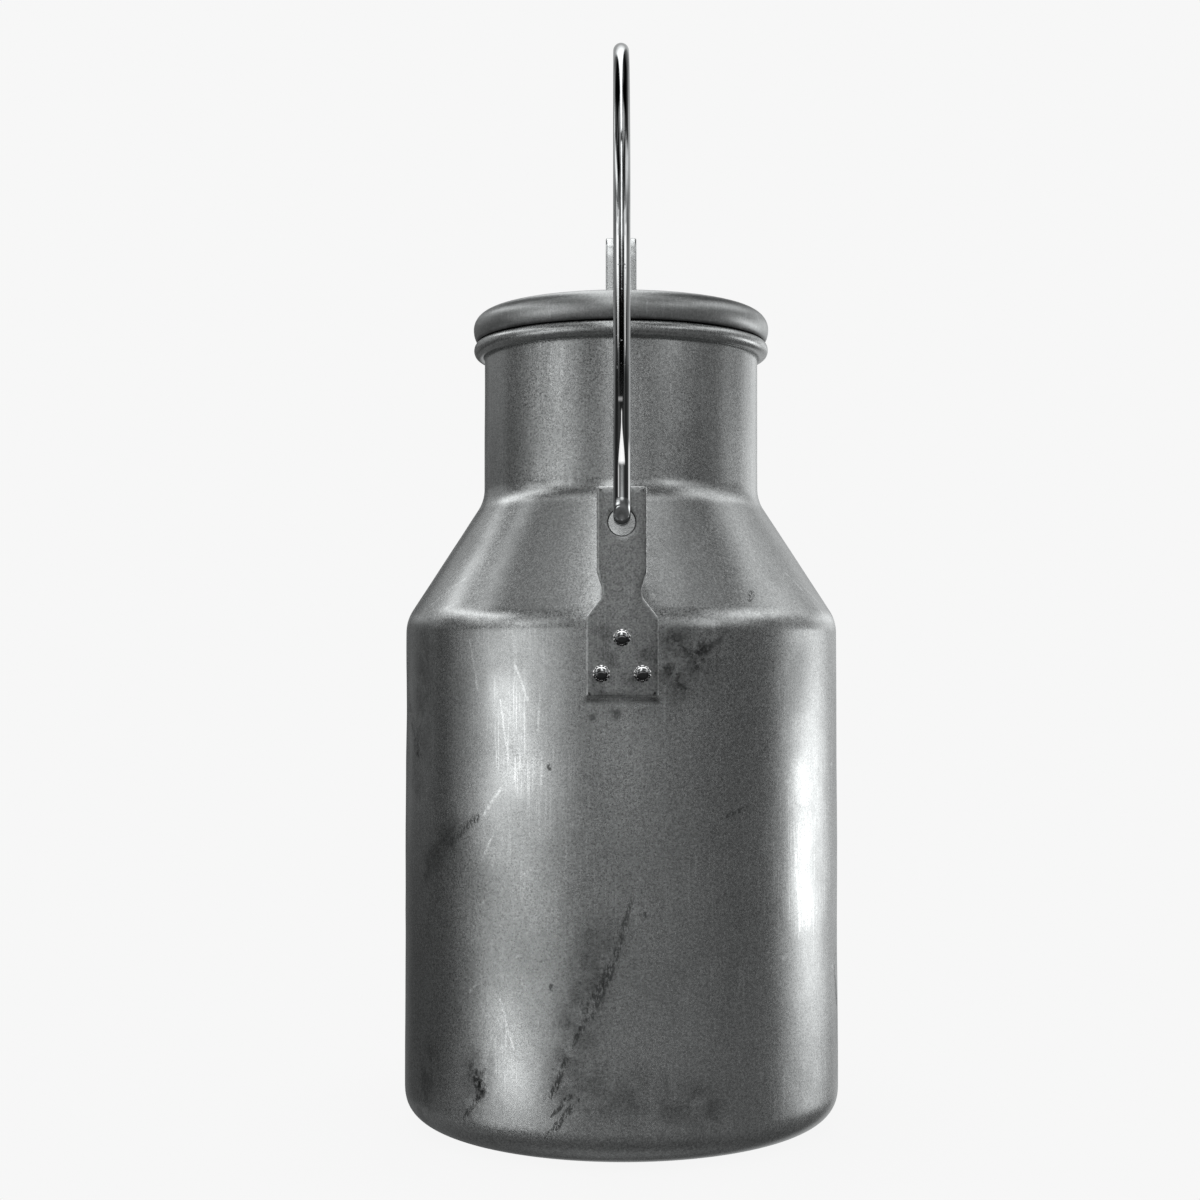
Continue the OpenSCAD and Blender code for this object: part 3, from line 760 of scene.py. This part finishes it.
# ------------------------------------------------------------------ can
# Knocks: azimuth from -Y towards +X in degrees, then height, radius and depth in mm
DENTS = [
    (-58, 64, 22, 0.55), (-24, 176, 30, 0.40), (14, 70, 34, 0.45), (40, 150, 26, 0.35),
    (-40, 118, 18, 0.30), (72, 92, 24, 0.5), (118, 190, 26, 1.3), (150, 60, 22, 1.1),
    (-150, 140, 30, 1.2), (-112, 78, 20, 0.9), (-95, 205, 26, 0.7), (100, 40, 16, 0.8),
    (165, 225, 18, 0.7), (-62, 288, 16, 0.35), (52, 282, 18, 0.35)]
ROUND_BELOW, ROUND_ABOVE = 3.5, 386     # true to the circle outside these heights


def shell_profile(inset, density):
    """From the axis along the floor, round the corner and up to the neck, moved in by inset."""
    def count(steps):
        return max(2, int(steps * density))

    floor_z, corner_r = FLOOR_Z + inset, BODY_R - CORNER_W
    out = [(0.0, floor_z)]
    out += line((0, floor_z), (FLOOR_R, floor_z), count(14))
    out += s_curve(FLOOR_R, floor_z, RING_R, inset, count(12))
    out += line((RING_R, inset), (corner_r, inset), count(6))
    corner = squircle((0, 0), CORNER_W - inset, CORNER_H - inset, CORNER_POWER, count(40))
    out += [(corner_r + x, CORNER_H - z) for x, z in corner[::-1]]
    bend = SHOULDER_BEND - inset
    shoulder = arc(SHOULDER_C, bend, bend, 0, CONE, count(14))
    out += line(out[-1], shoulder[0], count(84)) + shoulder
    bend = NECK_BEND + inset
    neck = arc(NECK_C, bend, bend, 180 + CONE, 180, count(14))
    return out + line(shoulder[-1], neck[0], count(26)) + neck


def can_profile():
    """Up the outside, over the rolled bead and down the inside."""
    seam = math.degrees(math.acos(-(BEAD_R - NECK_R) / BEAD_HALF_W))
    outer = shell_profile(0, 1)
    bead = arc((BEAD_R, BEAD_Z), BEAD_HALF_W, BEAD_HALF_H, -seam, 90, 34)
    lip = arc((BEAD_R, BEAD_Z), BEAD_R - NECK_IN, BEAD_HALF_H, 95, 180, 12)
    inner = shell_profile(WALL, 0.4)
    return (outer + line(outer[-1], bead[0], 26) + bead
            + lip + line(lip[-1], inner[-1], 10) + inner[::-1])


def wall_shift(theta, r, z, _):
    """Slow waviness of a thin wall and a few shallow knocks, in mm. Zero under the lugs, at the
    bead and at the standing ring."""
    if z < ROUND_BELOW or z > ROUND_ABOVE:
        return 0.0
    x, y = math.cos(theta), math.sin(theta)
    pos = Vector((x * r, y * r, z))
    shift = (0.20 * noise.noise(pos / 58.0) + 0.10 * noise.noise(pos / 26.0 + Vector((9, 3, 1)))
             + 0.045 * noise.noise(pos / 11.0))
    azimuth = math.degrees(math.atan2(x, -y))
    for middle, height, radius, depth in DENTS:
        turn = (azimuth - middle + 180) % 360 - 180
        near = ((math.radians(turn) * r) ** 2 + (z - height) ** 2) / radius ** 2
        if near < 9:
            shift -= depth * math.exp(-near * 1.6)
    fade = min(1.0, (z - ROUND_BELOW) / 22.0) * min(1.0, (ROUND_ABOVE - z) / 30.0)
    if abs(y * r) > 60:     # under the lugs
        fade_x = max(0.0, min(1.0, (abs(x * r) - 18.0) / 14.0))
        fade_z = max(0.0, min(1.0, (abs(z - 236.0) - 24.0) / 16.0))
        fade *= max(fade_x, fade_z)
    return shift * fade


can_body = build("can_body", lathe(can_profile(), 360, push=wall_shift), "can",
                 body_mat, "can_shell", sharp=40)
paint_wear(can_body)

# ------------------------------------------------------------------ lugs
# Right half of the outline, upwards: x, z, corner radius
LUG_HALF = [(16.7, 215.1, 1.3), (16.7, 251.5, 4.5), (9.2, 261.0, 5), (9.2, 265.3, 5),
            (11.5, 272.2, 5), (11.5, 311.4, 1.1)]
HOLE, HOLE_R = (0.0, 295.0), 6.15
LUG_IN, LUG_OUT = BODY_R, BODY_R + LUG_T
# Edge of the lug and of its hole, from the inner to the outer face: shift, radius from the axis
LUG_EDGE = [(0.35, LUG_IN), (0.0, LUG_IN + 0.35), (0.0, LUG_OUT - 0.95), (0.10, LUG_OUT - 0.66),
            (0.36, LUG_OUT - 0.36), (0.80, LUG_OUT - 0.12), (1.35, LUG_OUT)]
HOLE_EDGE = [(0.3, LUG_IN), (0.0, LUG_IN + 0.3), (0.0, LUG_OUT - 0.35), (0.12, LUG_OUT - 0.1),
             (0.35, LUG_OUT)]


def rounded(corners, n):
    """The polygon of (x, z, radius) corners with each corner turned into an arc."""
    out = []
    for i, (x, z, r) in enumerate(corners):
        corner = Vector((x, z))
        back = (Vector(corners[i - 1][:2]) - corner).normalized()
        ahead = (Vector(corners[(i + 1) % len(corners)][:2]) - corner).normalized()
        half = math.acos(max(-1, min(1, back.dot(ahead)))) / 2
        centre = corner + (back + ahead).normalized() * r / math.sin(half)
        start = corner + back * r / math.tan(half) - centre
        end = corner + ahead * r / math.tan(half) - centre
        angle = math.atan2(start.y, start.x)
        turn = math.atan2(end.y, end.x) - angle
        if turn > math.pi:
            turn -= 2 * math.pi
        elif turn < -math.pi:
            turn += 2 * math.pi
        for k in range(n + 1):
            a = angle + turn * k / n
            out.append((centre.x + r * math.cos(a), centre.y + r * math.sin(a)))
    return out


def densify(loop, spacing):
    out = []
    for i, a in enumerate(loop):
        b = loop[(i + 1) % len(loop)]
        n = max(1, int(math.hypot(b[0] - a[0], b[1] - a[1]) / spacing + 0.5))
        out += [a] + line(a, b, n)
    return out


def inset_loop(loop, distance):
    """The anticlockwise loop moved inwards."""
    out = []
    for i, (x, z) in enumerate(loop):
        a, b = loop[i - 1], loop[(i + 1) % len(loop)]
        run_x, run_z = b[0] - a[0], b[1] - a[1]
        length = math.hypot(run_x, run_z) or 1
        out.append((x - run_z / length * distance, z + run_x / length * distance))
    return out


def inside(spot, loop):
    hit = False
    for i, (x1, z1) in enumerate(loop):
        x2, z2 = loop[(i + 1) % len(loop)]
        if ((z1 > spot[1]) != (z2 > spot[1])
                and spot[0] < (x2 - x1) * (spot[1] - z1) / (z2 - z1) + x1):
            hit = not hit
    return hit


def face_grid(loop):
    """Staggered points well inside the loop and clear of the hole."""
    keep = inset_loop(loop, 0.9)
    out, z, row = [], 214.0, 0
    while z < 313:
        x = -17.0 + (1.1 if row % 2 else 0)
        while x < 17.1:
            clear = math.hypot(x - HOLE[0], z - HOLE[1]) > HOLE_R + 1.3
            if clear and inside((x, z), keep):
                out.append((x, z))
            x += 2.2
        z += 2.0
        row += 1
    return out


LUG_OUTLINE = densify(rounded(LUG_HALF + [(-x, z, r) for x, z, r in LUG_HALF[::-1]], 8), 1.6)


def lug_shape(side):
    """A plate curved to the can, at the front for side 1 and at the rear for side -1."""
    verts, faces = [], []

    def add_points(points, r):
        first = len(verts)
        verts.extend(point(side * x, -side * math.sqrt(r * r - x * x), z) for x, z in points)
        return list(range(first, len(verts)))

    def fill(loop, loop_ids, hole, hole_ids, r):
        n, h = len(loop), len(hole)
        grid = face_grid(loop)
        ids = loop_ids + hole_ids + add_points(grid, r)
        edges = [(i, (i + 1) % n) for i in range(n)]
        edges += [(n + i, n + (i + 1) % h) for i in range(h)]
        flat, _, triangles, origins, _, _ = delaunay_2d_cdt(
            [Vector(q) for q in loop + hole + grid], edges, [], 0, 1e-5)
        back = [o[0] if o else None for o in origins]
        for tri in triangles:
            centre = sum((flat[i] for i in tri), Vector((0, 0))) / len(tri)
            if inside(centre, loop) and not inside(centre, hole):
                if all(back[i] is not None for i in tri):
                    faces.append(tuple(ids[back[i]] for i in tri))

    outer = [(inset_loop(LUG_OUTLINE, d) if d else LUG_OUTLINE, r) for d, r in LUG_EDGE]
    holes = [(circle(HOLE, HOLE_R + d, 56), r) for d, r in HOLE_EDGE]
    outer_ids = [add_points(*loop) for loop in outer]
    hole_ids = [add_points(*loop) for loop in holes]
    for chain in (outer_ids, hole_ids):
        for a, b in zip(chain[:-1], chain[1:]):
            for i in range(len(a)):
                j = (i + 1) % len(a)
                faces.append((a[i], a[j], b[j], b[i]))
    for end, r in ((0, LUG_IN), (-1, LUG_OUT)):
        fill(outer[end][0], outer_ids[end], holes[end][0], hole_ids[end], r)
    return verts, faces


for end, side in (("front", 1), ("rear", -1)):
    build(f"lug_{end}", lug_shape(side), "can", lug_mat, f"{end}_lug",
          sharp=50)

# ------------------------------------------------------------------ lug rivets
RIVET_TURN = math.asin(9.2 / (BODY_R + LUG_T / 2))     # lower rivets stand 9.2 mm off centre
RIVET_TOP_Z, RIVET_LOW_Z = 242.2, 225.9
FLANGE_R, NOTCHES = 3.9, 10


def rivet_profile():
    """r and height above the can wall, from the inner end to the crown."""
    top = LUG_T
    out = [(0, -3.6), (1.4, -3.6), (2.6, -3.5), (3.2, -3.15), (3.5, -2.7), (3.5, -2.1),
           (2.4, -2.08), (2.4, top), (3.2, top), (FLANGE_R - 0.12, top)]
    out += arc((FLANGE_R - 0.15, top + 0.2), 0.15, 0.2, -40, 40, 3)
    out += [(FLANGE_R - 0.24, top + 0.46), (FLANGE_R - 0.50, top + 0.66), (3.22, top + 0.70),
            (3.12, top + 0.62)]
    return out + squircle((0, top + 0.66), 3.04, 1.55, 2.9, 18)[1:-1] + [(0.0, top + 2.21)]


def notch(theta, r, height, _):
    if height > 2.9 and r > 3.2:
        return -0.46 * max(0.0, math.cos(NOTCHES * theta)) ** 2
    return 0.0


def build_rivet(name, cad, turn, z):
    outward = Vector((math.sin(turn), -math.cos(turn), 0))
    tangent = Vector((math.cos(turn), math.sin(turn), 0))
    # the marks place the painted glints and the painted shade of the notches
    marks = []     # red: on the flange, green: 0 in a notch

    def place(x, y, height):
        if math.hypot(x, y) > 3.1 and height > 2.9:
            tip = 1.0 - max(0.0, math.cos(NOTCHES * math.atan2(y, x))) ** 2
            marks.extend((1.0, tip, 0.0, 1.0))
        else:
            marks.extend((0.0, 1.0, 0.0, 1.0))
        foot = outward * (BODY_R + height) + tangent * x
        return point(foot.x, foot.y, z + y)

    shape = lathe(rivet_profile(), 80, place=place, push=notch)
    paint(build(name, shape, "can", rivet_mat, cad, sharp=50), "flange", marks)


for end, turn, sign in (("front", 0, 1), ("rear", math.pi, -1)):
    for spot, lean, z in (("top", 0, RIVET_TOP_Z), ("left", -RIVET_TURN, RIVET_LOW_Z),
                          ("right", RIVET_TURN, RIVET_LOW_Z)):
        build_rivet(f"rivet_{end}_{spot}", f"{end}_lug_rivet_{spot}", turn + sign * lean, z)

# ------------------------------------------------------------------ bail
WIRE_R, BAIL_BEND = 3.95, 6.0
ARM_Y = BODY_R + LUG_T + BAIL_BEND
PIVOT_Z, ARCH_Z = 297.1, 423.7
END_SCALES = {0: 0.62, 1: 0.86, 2: 0.965}      # rounds off the wire's first sections


def bail_shape():
    """Wire hooked through the lug holes, straight up and over in a half circle."""
    hook_y, bend_z = BODY_R - BAIL_BEND, PIVOT_Z + BAIL_BEND
    half = [(hook_y, bend_z + rise) for rise in (6.2, 5.8, 5.3, 4.6, 2.2)]
    half += arc((BODY_R, bend_z), BAIL_BEND, BAIL_BEND, 180, 270, 14)
    half += [(BODY_R + 1.0, PIVOT_Z), (BODY_R + 2.0, PIVOT_Z)]
    half += arc((ARM_Y - BAIL_BEND, bend_z), BAIL_BEND, BAIL_BEND, -90, 0, 14)
    half += line((ARM_Y, bend_z), (ARM_Y, ARCH_Z), 40)
    half += arc((0, ARCH_Z), ARM_Y, ARM_Y, 0, 90, 80)
    stations = with_tangents(mirrored(half))
    path = []
    for i, station in enumerate(stations):
        scale = END_SCALES.get(min(i, len(stations) - 1 - i), 1.0)
        path.append((*station, scale, scale))
    return sweep(path, circle((0, 0), WIRE_R, 48))


build("bail_wire", bail_shape(), "bail", bail_mat, "bail", sharp=50)

# ------------------------------------------------------------------ lid
LID_R, LID_WALL = 76.0, 2
LID_SIDE_Z, LID_TOP_Z = 401.8, 410.7           # widest height and crest height
CREST_R, PANEL_R, PANEL_Z = 65.75, 56, 406.7   # raised crest round the sunken panel
LIP_Z, LIP_IN = 395.4, 71.9
CURL_W, CURL_H = 5.24, 8.2
PLUG_R, PLUG_Z, PLUG_WALL, PLUG_BEND = 67.6, 362.0, 1.5, 4
FLANGE_Z, PLUG_FLANGE_R = 397.0, 73.0
FIT = 0.05                                     # gap between fitted parts
LID_WAVE_LAST = 70                             # profile point halfway down the rim curl


def lid_profile():
    """Out over the top, round the rim and back along the underside."""
    curl_end = -math.degrees(math.asin((LID_SIDE_Z - LIP_Z) / CURL_H))
    crest, groove_r = (CREST_R, LID_SIDE_Z), PLUG_FLANGE_R + FIT
    rim_w, rim_h = LID_R - CREST_R, LID_TOP_Z - LID_SIDE_Z
    out = [(0.0, PANEL_Z)] + line((0, PANEL_Z), (PANEL_R, PANEL_Z), 14)
    out += s_curve(PANEL_R, PANEL_Z, CREST_R, LID_TOP_Z, 18)
    out += squircle(crest, rim_w, rim_h, 2.08, 30)[::-1][1:]
    out += arc((LID_R - CURL_W, LID_SIDE_Z), CURL_W, CURL_H, curl_end, 0, 14)[::-1][1:]
    out += [(73.7, LIP_Z - 0.02), (73.0, LIP_Z - 0.03), (LIP_IN + 0.3, LIP_Z),
            (LIP_IN, LIP_Z + 0.25), (LIP_IN, FLANGE_Z - FIT), (groove_r, FLANGE_Z - FIT),
            (groove_r, FLANGE_Z + PLUG_WALL + FIT)]
    out += squircle(crest, rim_w - LID_WALL, rim_h - LID_WALL, 2.08, 12)
    out += s_curve(56.6, PANEL_Z - LID_WALL, CREST_R, LID_TOP_Z - LID_WALL, 10)[::-1][1:]
    return out + [(0.0, PANEL_Z - LID_WALL)]


def lid_wave(theta, r, z, index):
    if index > LID_WAVE_LAST:
        return 0.0
    pos = Vector((math.cos(theta) * r, math.sin(theta) * r, z))
    return 0.035 * noise.noise(pos / 24.0) + 0.010 * noise.noise(pos / 9.0)


def plug_profile():
    """A cup under the lid: its underside, wall, top flange and inside."""
    inner_r, top = PLUG_R - PLUG_WALL, FLANGE_Z + PLUG_WALL
    bend_c, inner_bend = (PLUG_R - PLUG_BEND, PLUG_Z + PLUG_BEND), PLUG_BEND - PLUG_WALL
    out = [(0.0, PLUG_Z + 0.6), (10, PLUG_Z + 0.6), (40, PLUG_Z + 0.5), (52, PLUG_Z + 0.2),
           (58, PLUG_Z)]
    out += arc(bend_c, PLUG_BEND, PLUG_BEND, -90, 0, 12)
    out += line(out[-1], (PLUG_R, FLANGE_Z), 12)
    out += [(PLUG_R, FLANGE_Z), (PLUG_FLANGE_R - 0.15, FLANGE_Z),
            (PLUG_FLANGE_R, FLANGE_Z + 0.15), (PLUG_FLANGE_R, top - 0.15),
            (PLUG_FLANGE_R - 0.15, top), (inner_r + 0.2, top), (inner_r, top - 0.2)]
    out += line((inner_r, top), (inner_r, PLUG_Z + PLUG_BEND), 6)
    out += arc(bend_c, inner_bend, inner_bend, 0, -90, 8)
    return out + [(0.0, PLUG_Z + PLUG_WALL + 0.6)]


def seal_profile():
    """A closed ring section whose lower face follows the top of the bead."""
    inner_r, outer_r, top = PLUG_R + FIT, LIP_IN - FIT, FLANGE_Z - 0.02
    seat_r, bead_top = BEAD_R - 2.73, BEAD_Z + BEAD_HALF_H
    out = [(outer_r - 0.2, top), (inner_r + 0.25, top), (inner_r, top - 0.25),
           (inner_r, bead_top - 0.85), (inner_r + 0.25, bead_top - 1.1)]
    for i in range(13):
        r = seat_r + (outer_r - seat_r) * i / 12
        across = (r - BEAD_R) / (BEAD_R - NECK_IN)
        out.append((r, BEAD_Z + 0.03 + BEAD_HALF_H * math.sqrt(1 - across * across)))
    return out + [(outer_r, top - 0.2)]


build("lid_dome", lathe(lid_profile(), 288, push=lid_wave), "lid", lid_mat,
      "lid_cover", sharp=40)
build("lid_plug_cup", lathe(plug_profile(), 224), "lid", plug_mat,
      "lid_plug", sharp=40)
build("seal_ring", lathe(seal_profile(), 224, closed=True), "seal",
      seal_rubber(), "lid_gasket", sharp=40)

# ------------------------------------------------------------------ strap handle
STRAP_T, STRAP_W, STRAP_ROUND = 2.5, 15.3, 0.95
STRAP_END, STRAP_Y, STRAP_TOP = 54.0, 40, 444     # end of the foot, outside of leg, top
FOOT_BEND, TOP_BEND, END_ROUND = 2, 11, 5
# Distances of the foot's stations from its end
FOOT_STATIONS = (0.0, 0.15, 0.45, 0.9, 1.5, 2.3, 3.3, 4.2, 5.0, 6.5, 8.5, 10.5)


def strap_path():
    mid, bend_z, top_z = STRAP_T / 2, PANEL_Z + STRAP_T + FOOT_BEND, STRAP_TOP - TOP_BEND
    leg_y, top_y = STRAP_Y - mid, STRAP_Y - TOP_BEND
    half = [(STRAP_END - d, PANEL_Z + mid) for d in FOOT_STATIONS]
    half += arc((STRAP_Y + FOOT_BEND, bend_z), FOOT_BEND + mid, FOOT_BEND + mid, 270, 180, 10)
    half += line((leg_y, bend_z), (leg_y, top_z), 10)
    half += arc((top_y, top_z), TOP_BEND - mid, TOP_BEND - mid, 0, 90, 16)
    half += line((top_y, STRAP_TOP - mid), (0, STRAP_TOP - mid), 10) + [(0, STRAP_TOP - mid)]
    path = []
    for y, z, angle in with_tangents(mirrored(half)):
        from_end = STRAP_END - abs(y) if z < PANEL_Z + STRAP_T + 0.5 else 9.0
        scale_x = scale_n = 1.0
        if from_end < END_ROUND:     # rounded corners of the foot
            side = math.sqrt(max(0.0, END_ROUND ** 2 - (END_ROUND - from_end) ** 2))
            scale_x = (STRAP_W / 2 - END_ROUND + side) / (STRAP_W / 2)
        if from_end <= 0.5:          # softened end
            scale_n = 0.72 + 0.28 * math.sqrt(from_end / 0.5)
        path.append((y, z, angle, scale_x, scale_n))
    return path


def strap_section():
    """A rounded rectangle with extra points across its two flat faces."""
    cx, cn = STRAP_W / 2 - STRAP_ROUND, STRAP_T / 2 - STRAP_ROUND
    out = []
    for x, n, start in ((cx, cn, 0), (-cx, cn, 90), (-cx, -cn, 180), (cx, -cn, 270)):
        out += arc((x, n), STRAP_ROUND, STRAP_ROUND, start, start + 90, 7)
        if start in (0, 180):
            sign = 1 if start == 0 else -1
            out += [(sign * cx * (1 - 2 * k / 6), sign * STRAP_T / 2) for k in range(1, 6)]
    return out


def strap_rivet_profile():
    """r and height above the lid panel."""
    out = [(0, -3.1), (1.6, -3.1), (2.3, -3.0), (2.6, -2.7), (2.6, -2.05), (1.6, -2.0),
           (1.6, STRAP_T), (2.4, STRAP_T), (2.95, STRAP_T + 0.03)]
    return out + arc((0, STRAP_T + 0.1), 3.0, 1.6, 4, 90, 14)[:-1] + [(0.0, STRAP_T + 1.7)]


build("lid_strap", sweep(strap_path(), strap_section()), "lid", strap_mat,
      "lid_handle", sharp=50)
for end, rivet_y in (("front", -48.5), ("rear", 48.5)):
    for side, rivet_x in (("left", -3.9), ("right", 3.9)):
        shape = lathe(strap_rivet_profile(), 40,
                      place=lambda x, y, z: point(rivet_x + x, rivet_y + y, PANEL_Z + z))
        build(f"strap_rivet_{end}_{side}", shape, "lid", strap_rivet_mat,
              f"handle_rivet_{end}_{side}", sharp=50)

# the wire inside the rolled mouth bead keeps its CAD mesh
rim_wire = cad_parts["rim_wire"]
core_mat = core_steel()
if not rim_wire.data.materials:
    rim_wire.data.materials.append(core_mat)
for slot in rim_wire.material_slots:
    slot.material = core_mat

# ------------------------------------------------------------------ studio
BACKDROP = (0.93, 0.93, 0.93, 1.0)
# Elevation in degrees, brightness
SKY = [(-90, 0.220), (-50, 0.101), (-16, 0.152), (2, 0.086), (12, 0.072), (26, 0.196),
       (50, 0.010), (90, 0.179)]
# Azimuth (from -Y towards +X), half, edge, elevation, half, edge, all in degrees, then power
PANELS = [
    (116, 15.1, 18.3, -5.2, 5.2, 6.3, 2.75), (-62, 26.2, 20, -0.8, 3.6, 1.8, 1.90),
    (-60, 23.2, 18.4, -13.2, 2.2, 0.6, 1.54), (-55, 2.1, 2, 15.4, 4.8, 0.6, 2.20),
    (166, 18, 6.5, -8.5, 29.6, 13.4, 0.40), (0, 40, 18, -8, 12, 6, 0.062),
    (141, 14, 4, 9, 6, 2, 0.44), (-104, 16, 6, 8, 5, 2, 0.09), (88, 16, 6, 8, 5, 2, 0.09),
    (-99, 32.3, 2.5, 31.4, 3.8, 3.7, 1.59), (94, 35.7, 17.6, 36.4, 9.6, 6.3, 0.88),
    (56, 36.1, 2.8, 66, 11.2, 14, 0.60), (-56, 37.5, 2.4, 65.7, 17.8, 5.5, 0.36),
    (127, 34.8, 2.2, 13, 12.3, 2.9, 0.19), (44, 24.5, 19.4, 17.7, 6.4, 1.2, 0.60),
    (-63, 25, 2, 17.5, 6.4, 0.6, 0.61), (44, 2.7, 2.3, 20.1, 7.1, 3.7, 1.20),
    (-38, 7.8, 2.5, 13, 13.4, 4.1, 0.15), (30, 8.2, 2.1, 11.8, 1, 7, 0.73),
    (-1, 18.3, 17.3, 4.6, 1.5, 1, 1.47), (-104, 6.7, 7.3, 43.5, 4.3, 7.9, 1.75),
    (137, 16.4, 2.1, 11, 21.6, 1.9, 0.20), (-133, 19.8, 2.1, 14.1, 19.6, 1.8, 0.22),
]
SHADES = [    # the same, taking light away: 1 is black
    (-113, 37.5, 7.4, -3.5, 11.3, 0.9, 0.57), (101, 26.6, 10.4, 69.7, 10, 3.6, 0.90),
    (-101, 24.5, 9.6, 67.3, 6.7, 5.7, 0.74), (-4, 33.7, 2, 10.7, 2.5, 0.8, 0.95),
    (-72, 13.6, 3.6, 10.1, 2.4, 1, 0.50),
]
# Arched strip: x, half width and edge of its direction, then its low end in degrees, and power
STRIP_X, STRIP_HALF, STRIP_EDGE = -0.050, 0.123, 0.037
STRIP_LOW, STRIP_SOFT, STRIP_POWER = 12.6, 1.6, 1.87


def strip_light(net, xyz):
    """A narrow arch of light from over the camera to the back, with one gap in it."""
    along = net.angle(xyz["Z"], net.mul(xyz["Y"], -1.0))
    half = net.lin(along, over=(95, 155), to=(STRIP_HALF, STRIP_HALF * 2))
    across = net.sub(net.gap(xyz["X"], STRIP_X), half)
    strip = net.mul(net.ease(across, over=(-STRIP_EDGE, STRIP_EDGE), to=FALL),
                    net.ease(along, over=(STRIP_LOW - STRIP_SOFT, STRIP_LOW + STRIP_SOFT)))
    strip = net.mul(strip, net.ease(net.gap(along, 62.5), over=(1.8, 4.2), to=(0.03, 1.0)))
    strip = net.mul(strip, net.ease(along, over=(130.0, 152.0), to=(1.0, 0.10)))
    return net.mul(strip, STRIP_POWER)


def build_world():
    world = bpy.data.worlds.new("studio")
    scene.world = world
    net = fresh_nodes(world)
    xyz = net.xyz(net.node("TexCoord").outputs["Generated"])
    azimuth = net.angle(xyz["X"], net.mul(xyz["Y"], -1.0))
    elevation = net.degrees(net.math("ARCSINE", xyz["Z"]))

    def panel(az, half_az, edge_az, el, half_el, edge_el, power):
        off_az = net.math("ABSOLUTE", net.math("WRAP", net.sub(azimuth, az), 180.0, -180.0))
        off_el = net.gap(elevation, el)
        return net.mul(net.mul(net.within(off_az, half_az, edge_az),
                               net.within(off_el, half_el, edge_el)), power)

    sky = net.node("ValToRGB", {"Fac": net.lin(elevation, over=(-90, 90))})
    ramp = sky.color_ramp
    ramp.interpolation = "EASE"
    while len(ramp.elements) < len(SKY):
        ramp.elements.new(0.5)
    for element, (degrees, level) in zip(ramp.elements, SKY):
        element.position = (degrees + 90) / 180
        element.color = (level, level, level, 1)
    total = net.add(sky.outputs[0], 0.0)     # the ramp's colour as one number
    for row in PANELS:
        total = net.add(total, panel(*row))
    for row in SHADES:
        total = net.mul(total, net.math("SUBTRACT", 1.0, panel(*row), clamp=True))
    total = net.add(total, strip_light(net, xyz))
    light = net.node("CombineColor", {0: net.mul(total, 0.985), 1: total,
                                      2: net.mul(total, 1.005)}).outputs[0]
    camera_ray = net.node("LightPath").outputs["Is Camera Ray"]
    colour = net.mix(camera_ray, off=light, on=BACKDROP)
    background = net.node("Background", {"Color": colour, "Strength": 1.0})
    net.node("OutputWorld", {"Surface": background.outputs[0]})


def floor_material():
    """The backdrop's colour, with a faint shade where something stands on it."""
    mat = bpy.data.materials.new("pale_floor")
    net = fresh_nodes(mat)
    shade = net.node("AmbientOcclusion", {"Distance": 0.10}, samples=12)
    light = net.lin(shade.outputs["AO"], over=(0.0, 1.0), to=(0.80, 1.0))
    colour = net.mix(light, off=(0.80, 0.80, 0.80, 1), on=BACKDROP)
    glow = net.node("Emission", {"Color": colour, "Strength": 1.0})
    # seen from below it isn't in the way
    under = net.node("NewGeometry").outputs["Backfacing"]
    clear = net.node("BsdfTransparent")
    both = net.node("MixShader", {0: under, 1: glow.outputs[0], 2: clear.outputs[0]})
    net.node("OutputMaterial", {"Surface": both.outputs[0]})
    return mat


def build_floor(half=6.0, drop=0.0002):
    """A plain pale floor that only the camera sees. Sizes in metres."""
    mesh = bpy.data.meshes.new("floor")
    mesh.from_pydata([(-half, -half, 0), (half, -half, 0), (half, half, 0), (-half, half, 0)],
                     [], [(0, 1, 2, 3)])
    floor = bpy.data.objects.new("floor", mesh)
    scene.collection.objects.link(floor)
    floor.location = (0, 0, BASE - drop)
    mesh.materials.append(floor_material())
    floor.visible_glossy = False
    floor.visible_diffuse = False
    floor.visible_shadow = False
    floor.visible_transmission = False


def build_camera():
    """In front of the can, a little above mid height, tipped slightly up."""
    data = bpy.data.cameras.new("camera")
    data.sensor_width = 36.0
    data.lens = 55.8258
    data.clip_start, data.clip_end = 0.05, 50
    camera = bpy.data.objects.new("camera", data)
    camera.location = (-0.00362 * SIZE, -0.9591 * SIZE, BASE + 0.23239 * SIZE)
    camera.rotation_euler = (math.pi / 2 + 0.03195, 0, 0.0075)
    scene.collection.objects.link(camera)
    scene.camera = camera


build_world()
build_floor()
build_camera()

bpy.context.view_layer.update()
